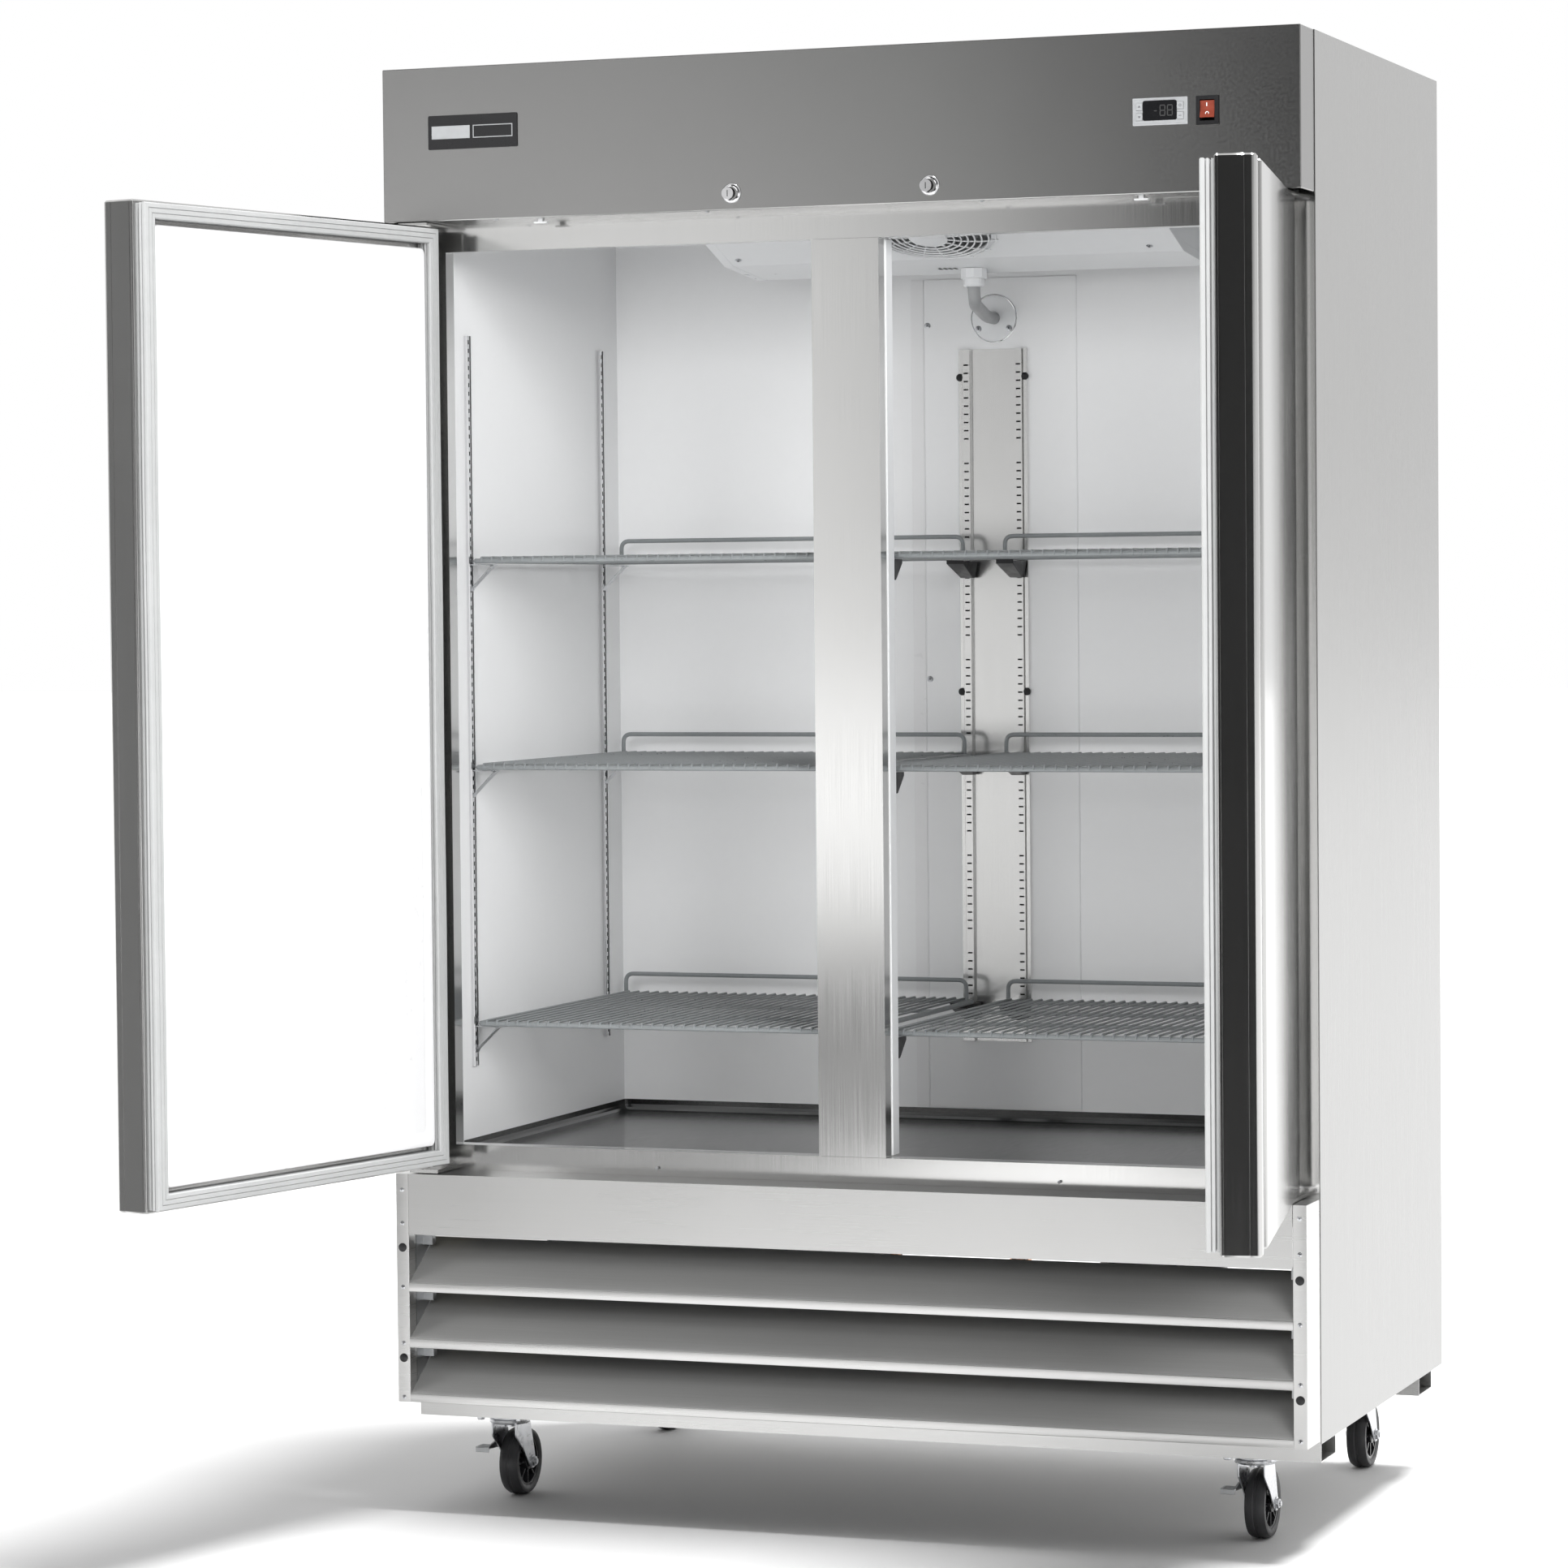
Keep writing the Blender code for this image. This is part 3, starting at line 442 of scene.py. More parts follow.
def build_marks():
    """A plain mark on each key and two on the rocker."""
    for k, mark in enumerate(("up", "down", "ring", "bar")):
        a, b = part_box(f"controller_key_{k + 1}")
        c, y = (a + b) / 2, a.y - 0.0001
        bm = bmesh.new()
        if mark in ("up", "down"):
            z = 0.0018 if mark == "up" else -0.0018
            add_prism(bm, [(c.x - 0.002, c.z - z * 0.6), (c.x + 0.002, c.z - z * 0.6), (c.x, c.z + z)],
                      y - 0.0001, y + 0.0003, 0, "Y")
        elif mark == "ring":
            add_lathe(bm, [(0.0013, 0), (0.0019, 0), (0.0019, 0.0004), (0.0013, 0.0004)],
                      (c.x, y + 0.0003, c.z), (0, -1, 0), 20, loop=True)
        else:
            add_box(bm, (c.x - 0.002, y - 0.0001, c.z - 0.0004), (c.x + 0.002, y + 0.0003, c.z + 0.0004))
        piece(f"key_mark_{k + 1}", bm, GREY_INK, f"key_{k + 1}", smooth=False)
    a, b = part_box("switch_rocker")
    c = (a + b) / 2
    bm = bmesh.new()
    add_box(bm, (c.x - 0.0006, a.y - 0.0001, c.z + 0.0035), (c.x + 0.0006, a.y + 0.0009, c.z + 0.0085))
    add_lathe(bm, [(0.0017, 0), (0.0026, 0), (0.0026, 0.0022), (0.0017, 0.0022)],
              (c.x, a.y + 0.0036, c.z - 0.0060), (0, -1, -0.05), 24, loop=True)
    piece("rocker_marks", bm, INK, "rocker", smooth=False)


def build_locks():
    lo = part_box("header_cover")[0]
    face = lo.y
    for side, _ in SIDES:
        a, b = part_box("lock_plug_" + side)
        bm = bmesh.new()
        add_lathe(bm, [(0.0094, 0), (0.0138, 0), (0.0140, 0.0014), (0.0128, 0.0030), (0.0108, 0.0040),
                       (0.0094, 0.0034)], ((a.x + b.x) / 2, face, JOINTS[f"lock_{side}_turn"]["pos_m"][2]),
                  (0, -1, 0), 40, loop=True)
        piece("lock_collar_" + side, bm, CHROME, "cabinet")
    screws("header_screws", [(x, face + 0.012, lo.z) for x in (-0.5125, -0.1846, 0.2259, 0.560)],
           (0, 0, -1), 0.0028)


# ---- louvres and their posts ----
def build_louvres():
    lo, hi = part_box("louvre_panel")
    f, b, t = lo.y, hi.y, 0.0012
    bm = bmesh.new()
    inner = 0.665
    for _, s in SIDES:
        front = [(s * inner, f, 0.0012), (s * hi.x, f, 0.0012), (s * hi.x, b, 0)]
        post = front + [(s * (hi.x - t), b, 0), (s * (hi.x - t), f + t, 0), (s * (inner + t), f + t, 0),
                        (s * (inner + t), f + 0.023, 0), (s * inner, f + 0.023, 0)]
        add_prism(bm, rounded(post), lo.z, hi.z - t)
        add_prism(bm, rounded(front + [(s * inner, b, 0)]), hi.z - t, hi.z)
    piece("grille_posts", bm, FRONT, "cabinet", replaces=["louvre_panel"])
    bm = bmesh.new()
    for bottom, top in ((0.3247, 0.3377), (0.2422, 0.2557), (0.1622, 0.1744)):
        blade = rounded([(f, bottom, 0.001), (f, top, 0.0012), (0.020, top + 0.057, 0),
                         (0.0195, top + 0.0558, 0), (f + 0.0014, top - 0.0008, 0.0004),
                         (f + 0.0014, bottom + 0.0012, 0), (f + 0.008, bottom + 0.0012, 0),
                         (f + 0.008, bottom, 0)], 3)
        add_prism(bm, blade, -0.6652, 0.6652, 0, "X")
    # Faces at the very front keep the front steel; the recessed blade faces behind the lips take the darker
    # steel: painted shade.
    for face in bm.faces:
        c = face.calc_center_median()
        face.material_index = 0 if c.y < f + 0.0011 else 1
    piece("grille_louvres", bm, [FRONT, LOUVRE_SHADE_STEEL], "cabinet")
    bm = bmesh.new()
    for _, s in SIDES:
        for z in (0.1790, 0.2620, 0.3440):
            add_box(bm, (s * 0.6656, f + 0.026, z), (s * 0.6672, 0.012, z + 0.060))
            add_box(bm, (s * 0.6500, f + 0.050, z + 0.044), (s * 0.6672, f + 0.062, z + 0.060))
    piece("louvre_brackets", bm, GALVANISED, "cabinet")
    mid = (0.665 + hi.x) / 2
    left = [(-mid, f, z) for z in (0.4742, 0.4250, 0.3310, 0.2487, 0.1690)]
    right = [(mid, f, z) for z in (0.4795, 0.4300, 0.3330, 0.2500, 0.1720)]
    screws("post_screws", left + right, (0, -1, 0), 0.0026)
    bm = bmesh.new()
    for x, z in ((-mid, 0.3895), (-mid, 0.2270), (mid, 0.3940), (mid, 0.2290)):
        add_lathe(bm, [(0, 0), (0.0062, 0), (0.0064, 0.0006), (0.0052, 0.0014), (0, 0.0016)],
                  (x, f, z), (0, -1, 0), 28)
    piece("post_plugs", bm, BLACK, "cabinet")


# ---- wire shelves ----
def build_shelf(side, level):
    """A round-bar frame with two cross bars, an upright rear rail and wires from front to rear."""
    name = f"shelf_{side}_{level}"
    lo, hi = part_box(name)
    x0, x1 = lo.x + 0.004, hi.x - 0.004
    y0, y1 = lo.y + 0.004, hi.y - 0.004
    under = lo.z
    bar, wire = 0.0038, 0.0018
    z = under + bar + 0.0004
    top = z + bar + wire * 0.7
    bm = bmesh.new()
    loop = bend([(x0, (y0 + y1) / 2, z), (x0, y0, z), (x1, y0, z), (x1, y1, z), (x0, y1, z),
                 (x0, (y0 + y1) / 2, z)], 0.012)
    add_tube(bm, loop[:-1], bar, 10, loop=True)
    for y in (y0 + 0.185, y0 + 0.375):
        add_tube(bm, [(x0, y, z - 0.0006), (x1, y, z - 0.0006)], bar * 0.8, 8)
    rail = bend([(x0 + 0.010, y1 - 0.003, z), (x0 + 0.010, y1 - 0.003, hi.z - 0.0035),
                 (x1 - 0.010, y1 - 0.003, hi.z - 0.0035), (x1 - 0.010, y1 - 0.003, z)], 0.013, 7)
    add_tube(bm, rail, 0.0034, 10)
    wires = 35
    for k in range(wires):
        x = x0 + (x1 - x0) * (k + 0.8) / (wires + 0.6)
        path = bend([(x, y0 - 0.0030, z - 0.0008), (x, y0 - 0.0030, top), (x, y1 + 0.002, top),
                     (x, y1 + 0.002, z)], 0.0035, 3)
        add_tube(bm, path, wire, 6)
    piece("wire_" + name, bm, EPOXY, name, replaces=[name])


# ---- shelf uprights, rear bracket and clips ----
def slot_heights(lo, first):
    """Ten slots, then a gap of three pitches, repeated downwards from the first."""
    pitch, out, z, run = 0.0127, [], first, 0
    while z > lo + 0.008:
        out.append(z - lo)
        run += 1
        z -= pitch if run % 10 else pitch * 3
    return sorted(out)


def add_wedge(bm, x, wall, z, levels):
    """A moulded clip under a shelf bar, against the wall; levels are (height, half width, y) from its top."""
    add_rings(bm, [[(x - w, y, z + h), (x + w, y, z + h), (x + w, wall, z + h), (x - w, wall, z + h)]
                   for h, w, y in levels])


def shelf_underside(side, level):
    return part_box(f"shelf_{side}_{level}")[0].z - 0.0004


def build_rear_bracket():
    lo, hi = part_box("rear_shelf_bracket")
    back, z0, z1 = hi.y, lo.z, hi.z
    deep = back - 0.0105
    half = [(0.0555, back), (0.0555, back - 0.0075), (0.0500, back - 0.0075), (0.0500, back - 0.0040),
            (0.0485, back - 0.0040), (0.0485, deep), (0.0365, deep), (0.0345, back - 0.0030)]
    bm = bmesh.new()
    add_prism(bm, half + [(-x, y) for x, y in reversed(half)], z0, z1)
    slots = slot_heights(z0, z1 - 0.024)
    for s in (-1, 1):
        add_slotted(bm, (s * 0.0425 - 0.0058, deep - 0.0002, z0), (1, 0, 0), (0, 0, 1), (0, -1, 0),
                    0.0116, z1 - z0, slots, 0.0074, 0.0024, 0.0002)
    piece("slotted_rear_bracket", bm, [BRIGHT, DARK], "cabinet",
          smooth=False, replaces=["rear_shelf_bracket"])
    bm = bmesh.new()
    for s in (-1, 1):
        for z in (z1 - 0.043, z0 + 0.545):
            add_lathe(bm, [(0, 0), (0.0058, 0), (0.0060, 0.002), (0.0046, 0.004), (0, 0.0045)],
                      (s * 0.0528, back - 0.0075, z), (0, -1, 0), 24)
    piece("bracket_plugs", bm, BLACK, "cabinet")

    bm = bmesh.new()
    wall, front = deep - 0.0004, 0.606
    for level in LEVELS:
        for side, s in SIDES:
            x, z = s * 0.0400, shelf_underside(side, level)
            add_wedge(bm, x, wall, z,
                      ((0, 0.014, front), (-0.004, 0.014, front), (-0.026, 0.010, wall - 0.010)))
            add_box(bm, (x - 0.014, front, z - 0.001), (x + 0.014, front + 0.0022, z + 0.0035))
    piece("rear_clips", bm, BLACK, "cabinet", bevel=0.0008)
    bm = bmesh.new()
    wall, w = 0.0590, 0.0115
    for level in LEVELS:
        for side, s in SIDES:
            add_wedge(bm, s * 0.0400, wall, shelf_underside(side, level),
                      ((0, w, 0.092), (-0.0055, w, 0.092), (-0.030, w, wall + 0.005)))
    piece("mullion_clips", bm, BLACK, "cabinet", bevel=0.0008)


def build_uprights():
    """The slotted strips on the side walls, with a bent strap clip under each shelf."""
    for side, s in SIDES:
        for end in ("front", "rear"):
            node = f"shelf_upright_{side}_{end}"
            lo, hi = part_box(node)
            wall = s * max(abs(lo.x), abs(hi.x))
            face = wall - s * 0.0050
            y = (lo.y + hi.y) / 2
            bm = bmesh.new()
            half = [(wall, 0.008), (face + s * 0.0008, 0.008), (face, 0.0072), (face, 0.0048),
                    (face + s * 0.0016, 0.0040)]
            strip = [(x, y - v) for x, v in half] + [(x, y + v) for x, v in reversed(half)]
            add_prism(bm, strip, lo.z, hi.z)
            add_slotted(bm, (face + s * 0.0014, y - 0.0038, lo.z), (0, 1, 0), (0, 0, 1), (-s, 0, 0),
                        0.0076, hi.z - lo.z, [0.010 + 0.0127 * k for k in range(85)], 0.0040, 0.0062, 0.0002)
            piece(f"slotted_upright_{side}_{end}", bm, [CHROME, DARK], "cabinet",
                  smooth=False, replaces=[node])
            bm = bmesh.new()
            for level in LEVELS:
                under = shelf_underside(side, level)
                a = face - s * 0.0002
                path = [(a, under - 0.040), (a - s * 0.0015, under - 0.036), (a - s * 0.034, under - 0.0045),
                        (a - s * 0.040, under - 0.0015), (a - s * 0.036, under - 0.0002),
                        (a, under - 0.0002), (a, under - 0.0015), (a - s * 0.030, under - 0.0016),
                        (a - s * 0.0335, under - 0.0030), (a - s * 0.003, under - 0.034), (a, under - 0.0365)]
                add_prism(bm, path, y - 0.0075, y + 0.0075, 0, "Y")
            piece(f"strap_clips_{side}_{end}", bm, ZINC, "cabinet", smooth=False, bevel=0.0003)


# ---- liner trim, duct panel, evaporator details ----
def build_rear_wall():
    """The duct panel and its flange, the wall screws, the drain plate's rim and the mullion's strips."""
    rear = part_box("inner_liner")[1].y - 0.001
    bottom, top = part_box("floor_pan")[1].z + 0.002, 1.828
    bm = bmesh.new()
    add_prism(bm, [(x, rear - d) for x, d in ((-0.1140, 0), (-0.1140, 0.0006), (-0.1125, 0.0022),
                                              (0.1335, 0.0022), (0.1350, 0.0006), (0.1350, 0))], bottom, top)
    piece("rear_duct_panel", bm, LINER, "cabinet", smooth=False)
    bm = bmesh.new()
    add_prism(bm, [(x, rear - d) for x, d in ((-0.1350, 0), (-0.1350, 0.0010), (-0.1345, 0.0014),
                                              (-0.1150, 0.0014), (-0.1150, 0))], bottom, top)
    piece("rear_duct_flange", bm, DOOR_WHITE, "cabinet", smooth=False)
    bm = bmesh.new()
    for z in (1.757, 1.2065, 0.6540):
        add_screw(bm, (-0.1075, rear - 0.0022, z), (0, -1, 0), 0.0038, 0.5 + z)
    plate_lo, plate_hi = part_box("drain_wall_plate")
    pc = (plate_lo + plate_hi) / 2
    for s in (-1, 1):
        add_screw(bm, (pc.x + s * 0.0248, plate_lo.y, pc.z - 0.0165), (0, -1, 0), 0.0040, 0.5)
    piece("rear_wall_screws", bm, [ZINC, DARK], "cabinet")
    bm = bmesh.new()
    add_lathe(bm, [(0.0340, 0), (0.0378, 0), (0.0378, 0.0016), (0.0364, 0.0024), (0.0340, 0.0020)],
              (pc.x, plate_hi.y, pc.z), (0, -1, 0), 56, loop=True)
    piece("wall_plate_rim", bm, CHROME, "cabinet")

    lo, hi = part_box("centre_mullion")
    bm = bmesh.new()
    for s in (-1, 1):
        strip = [(s * 0.0507, 0.0275, 0), (s * 0.0522, 0.0282, 0.0004), (s * 0.0522, 0.0545, 0.0006),
                 (s * 0.0320, 0.0552, 0.0006), (s * 0.0320, 0.0542, 0), (s * 0.0507, 0.0542, 0)]
        add_prism(bm, rounded(strip), lo.z + 0.001, hi.z - 0.001)
    piece("mullion_breaker_strips", bm, PLASTIC, "cabinet", smooth=False)


def build_evaporator():
    """The round wire guard on the sloping fan panel, the housing's end trims and its screws."""
    lo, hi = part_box("evaporator_housing")
    normal = Vector((0, -0.3303, -0.9438))
    spin = JOINTS["evaporator_spin"]["pos_m"]
    centre = Vector(spin) + normal * 0.030
    along = Vector((1, 0, 0))
    other = normal.cross(along)

    def spot(angle, radius, lift):
        return centre + normal * lift + (along * math.cos(angle) + other * math.sin(angle)) * radius

    bm = bmesh.new()
    for radius, lift in ((0.099, 0.0022), (0.089, 0.0060), (0.079, 0.0080), (0.069, 0.0095), (0.059, 0.0105),
                         (0.049, 0.0112), (0.039, 0.0118), (0.028, 0.0122)):
        add_tube(bm, [spot(2 * math.pi * k / 56, radius, lift) for k in range(56)], 0.0013, 6, loop=True)
    spoke = ((0.026, 0.0105), (0.050, 0.0098), (0.075, 0.0072), (0.092, 0.0038), (0.103, 0.0016))
    for k in range(16):
        add_tube(bm, [spot(2 * math.pi * k / 16, r, h) for r, h in spoke], 0.0013, 6)
    add_lathe(bm, [(0, 0.0100), (0.0275, 0.0100), (0.0275, 0.0128), (0.024, 0.0142), (0, 0.0142)],
              centre, normal, 32)
    piece("evaporator_fan_guard", bm, PLASTIC, "cabinet")

    bm = bmesh.new()
    profile = [(0.332, 1.8342), (0.468, 1.8209), (0.4905, 1.8297), (0.4905, 1.8420), (0.468, 1.8340),
               (0.332, 1.8475), (0.074, 1.9378), (0.0695, 1.9268)]
    for x in (lo.x - 0.0008, hi.x - 0.0142):
        add_prism(bm, profile, x, x + 0.0150, 0, "X")
    piece("evaporator_end_trims", bm, PLASTIC, "cabinet", smooth=False, bevel=0.0006)
    screws("evaporator_screws", [(x, y, z) for x in (lo.x + 0.030, hi.x - 0.045)
                                 for y, z in ((0.200, 1.8806), (0.310, 1.8418))], normal, 0.0040)


def build_drain():
    """The spigot's nut, the vents beside it and the hose, a smooth curve through its route."""
    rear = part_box("inner_liner")[1].y - 0.001
    lo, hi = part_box("drain_wall_plate")
    px, pz = (lo.x + hi.x) / 2, (lo.z + hi.z) / 2
    dx, dy = 0.052, 0.430  # the spigot
    bm = bmesh.new()
    add_lathe(bm, [(0.0166, 1.8262), (0.0205, 1.8262), (0.0205, 1.8120), (0.0190, 1.8105), (0.0166, 1.8105)],
              (dx, dy, 0), (0, 0, 1), 10, loop=True)
    piece("drain_nut", bm, PLASTIC, "cabinet", smooth=False, bevel=0.0006)
    bm = bmesh.new()
    for x in (dx - 0.050 + k * 0.008 for k in range(4)):
        add_box(bm, (x, dy - 0.020, 1.8255), (x + 0.0035, dy + 0.004, 1.8262))
    piece("drain_vents", bm, DARK, "cabinet", smooth=False)
    route = [(dx, dy, 1.8180), (dx, dy, 1.7985), (dx - 0.0005, dy + 0.003, 1.7880),
             (dx - 0.002, dy + 0.010, 1.7790), (dx - 0.006, dy + 0.026, 1.7730),
             (dx - 0.015, dy + 0.070, 1.7700), (px + 0.022, 0.560, pz + 0.002),
             (px + 0.010, 0.610, pz + 0.0005), (px + 0.002, 0.650, pz), (px, rear - 0.0005, pz)]
    points = [Vector(p) for p in (route[0], *route, route[-1])]
    curve = []
    for p0, p1, p2, p3 in zip(points, points[1:], points[2:], points[3:]):
        for t in (k / 5 for k in range(5)):
            curve.append(0.5 * (2 * p1 + (p2 - p0) * t + (2 * p0 - 5 * p1 + 4 * p2 - p3) * t * t
                                + (3 * p1 - p0 - 3 * p2 + p3) * t ** 3))
    bm = bmesh.new()
    add_tube(bm, curve + points[-1:], 0.0094, 18)
    piece("smooth_drain_hose", bm, HOSE, "cabinet", replaces=["drain_hose"])


# ---- doors ----
DOOR_FREE, DOOR_HINGED = -0.648, 0.017  # the door's two edges in plan, measured from its pin
DOOR_FACE, DOOR_BACK = -0.016, 0.037


def build_door(side, s):
    joint = JOINTS[f"door_{side}_hinge"]
    pin, opened = joint["pos_m"], -math.radians(joint["range_deg"][0])
    turn = Matrix.Translation((pin[0], pin[1], 0)) @ Matrix.Rotation(s * opened, 4, "Z")
    lo_z, hi_z = (corner.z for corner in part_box("door_shell_" + side))
    a0, a1, f, b = DOOR_FREE, DOOR_HINGED, DOOR_FACE, DOOR_BACK
    body = "door_" + side
    groove = 0.0006
    corners = [(a0, b, 0.0022), (a1, b, 0.0022), (a1, f, 0.006), (a0 + 0.086, f, 0.0030),
               (a0 + 0.080, 0.006, 0.002), (a0 + 0.034, 0.006, 0.002), (a0 + 0.028, f, 0.0030),
               (a0, f, 0.0090)]
    for v in (-0.0010, 0.0318):
        corners += [(a0, v - groove, 0), (a0 + groove, v, 0), (a0, v + groove, 0)]
    outline = [(s * u, v) for u, v in rounded(corners)]
    bm = bmesh.new()
    add_prism(bm, outline, lo_z, hi_z, 0.0024, matrix=turn)
    piece("door_skin_" + side, bm, DOOR, body,
          replaces=["door_shell_" + side, "door_liner_" + side])

    bm = bmesh.new()
    u0, u1, z0, z1 = a0 + 0.0310, -0.0225, lo_z + 0.0328, hi_z - 0.0328
    sheet = []
    for d, v in ((0, b), (0, 0.0455), (0.0012, 0.0478), (0.0040, 0.0490), (0.0180, 0.0490), (0.0200, 0.0484),
                 (0.0220, 0.0484), (0.0240, 0.0490)):
        ring = rectangle(u0 + d, z0 + d, u1 - d, z1 - d, 0.008)
        sheet.append([turn @ Vector((s * u, v, z)) for u, z in ring])
    add_rings(bm, sheet)
    piece("door_panel_" + side, bm, DOOR_WHITE, body)

    bm = bmesh.new()
    bush = [(0.0095 * math.cos(a), 0.0095 * math.sin(a)) for a in (2 * math.pi * k / 24 for k in range(24))]
    for z0, z1 in ((lo_z - 0.0028, lo_z + 0.001), (hi_z - 0.001, hi_z + 0.0022)):
        add_prism(bm, bush, z0, z1, matrix=turn)
    piece("hinge_bushes_" + side, bm, PLASTIC, body)
    build_gasket(side, s, turn, lo_z + 0.004, hi_z - 0.004)


def build_gasket(side, s, turn, low, high):
    """A bellows ring on the door's back: one profile swept round four sides that aren't quite straight."""
    free, hinged = DOOR_FREE + 0.005, 0.002
    edge = [(0.0012, 0.0002), (0.0012, 0.0034), (0.0062, 0.0042), (0.0062, 0.0054), (0.0014, 0.0062),
            (0.0006, 0.0082), (0.0014, 0.0102), (0.0038, 0.0110), (0.0012, 0.0118), (0.0004, 0.0136),
            (0.0004, 0.0166), (0.0018, 0.0184), (0.0068, 0.0187), (0.0076, 0.0172), (0.0084, 0.0187)]
    profile = edge + [(0.0222 - across, deep) for across, deep in reversed(edge)]

    def inner(corner, across):
        u, z = corner
        return u + (across if u == free else -across), z + (across if z == low else -across)

    corners = ((free, low), (hinged, low), (hinged, high), (free, high))
    rings = []
    for start, end in zip(corners, corners[1:] + corners[:1]):
        upright = start[0] == end[0]
        steps = 80 if upright else 40
        for t in (k / steps for k in range(steps)):
            fade = min(1, 8 * t, 8 * (1 - t))
            ring = []
            for across, deep in profile:
                u, z = (p * (1 - t) + q * t for p, q in zip(inner(start, across), inner(end, across)))
                if deep > 0.004:
                    wave = noise.noise(Vector((u * 5, z * 5, 3.7 * s))) * fade
                    deep -= 0.0005 * max(0, wave + 0.15)
                    shift = 0.0006 * noise.noise(Vector((u * 4 + 9, z * 4, 1.3 * s))) * fade
                    u, z = (u + shift, z) if upright else (u, z + shift)
                ring.append(turn @ Vector((s * u, DOOR_BACK + deep, z)))
            rings.append(ring)
    bm = bmesh.new()
    add_rings(bm, rings, loop=True, caps=False)
    piece("bellows_gasket_" + side, bm, GASKET, "door_" + side,
          replaces=["door_gasket_" + side])


# ---- casters ----
def build_yoke(name, x, y, ay, az):
    """The swivel race, the fork with its bridge and the axle with its nuts."""
    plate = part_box("caster_fork_" + name)[1].z
    bm = bmesh.new()
    race = ((0, 0.0002), (0.0300, 0.0002), (0.0305, 0.0030), (0.0270, 0.0042), (0.0255, 0.0046),
            (0.0255, 0.0058), (0.0300, 0.0068), (0.0310, 0.0100), (0.0285, 0.0130), (0.0200, 0.0145),
            (0.0080, 0.0150), (0.0078, 0.0190), (0, 0.0192))
    add_lathe(bm, [(radius, plate - d) for radius, d in race], (x, y, 0), (0, 0, 1), 40)
    crown = plate - 0.0125
    leg = rounded([(y - 0.024, crown + 0.002, 0.003), (y + 0.028, crown + 0.002, 0.004),
                   (y + 0.043, az + 0.020, 0.016), (ay + 0.0120, az - 0.004, 0.008),
                   (ay, az - 0.0125, 0.008), (ay - 0.0120, az - 0.004, 0.008),
                   (y + 0.004, az + 0.022, 0.022), (y - 0.0235, az + 0.046, 0.010)], 6)
    for side in (-1, 1):
        a, b = sorted((x + side * 0.0178, x + side * 0.0202))
        add_prism(bm, leg, a, b, 0.0005, "X")
        add_lathe(bm, [(0, 0), (0.0076, 0), (0.0076, 0.0040), (0.0062, 0.0052), (0, 0.0052)],
                  (x + side * 0.0202, ay, az), (side, 0, 0), 6)
        add_lathe(bm, [(0, 0), (0.0098, 0), (0.0098, 0.0009), (0, 0.0009)],
                  (x + side * 0.0201, ay, az), (side, 0, 0), 24)
    axle = [(0, -0.0262), (0.0042, -0.0262), (0.0042, 0.0270), (0, 0.0270)]
    add_lathe(bm, axle, (x, ay, az), (1, 0, 0), 16)
    bridge = rounded([(x - 0.0202, crown - 0.0002, 0.002), (x + 0.0202, crown - 0.0002, 0.002),
                      (x + 0.0202, crown + 0.0034, 0.001), (x - 0.0202, crown + 0.0034, 0.001)])
    add_prism(bm, bridge, y - 0.0235, y + 0.0275, 0, "Y")
    piece("caster_yoke_" + name, bm, ZINC, "swivel_" + name, replaces=["caster_fork_" + name])


def build_wheel(name, hub):
    """A black tyre on a webbed hub."""
    bm = bmesh.new()
    w = 0.0152
    half = [(0.0370, w - 0.0022), (0.0420, w), (0.0465, w - 0.0006), (0.0492, w - 0.0050), (0.0499, 0.0060),
            (0.0499, 0.0026), (0.0491, 0.0018)]
    tyre = [(radius, -h) for radius, h in half] + half[::-1]
    add_lathe(bm, tyre, hub, (1, 0, 0), 64, loop=True)
    rim = [(0.0330, -0.0122), (0.0382, -0.0128), (0.0382, 0.0128), (0.0330, 0.0122)]
    add_lathe(bm, rim, hub, (1, 0, 0), 64, mat=1, loop=True)
    boss = [(0.0050, -0.0150), (0.0120, -0.0150), (0.0128, -0.0140), (0.0128, 0.0140), (0.0120, 0.0150),
            (0.0050, 0.0150)]
    add_lathe(bm, boss, hub, (1, 0, 0), 32, mat=1, loop=True)
    add_lathe(bm, [(0.0120, -0.0022), (0.0335, -0.0022), (0.0335, 0.0022), (0.0120, 0.0022)],
              hub, (1, 0, 0), 48, mat=1, loop=True)
    for k in range(8):
        m = Matrix.Translation(hub) @ Matrix.Rotation(math.pi * k / 4, 4, "X")
        add_box(bm, (-0.0118, 0.0115, -0.0014), (0.0118, 0.0335, 0.0014), 1, m)
    piece("tread_wheel_" + name, bm, [RUBBER, HUB], "wheel_" + name,
          replaces=["wheel_" + name])


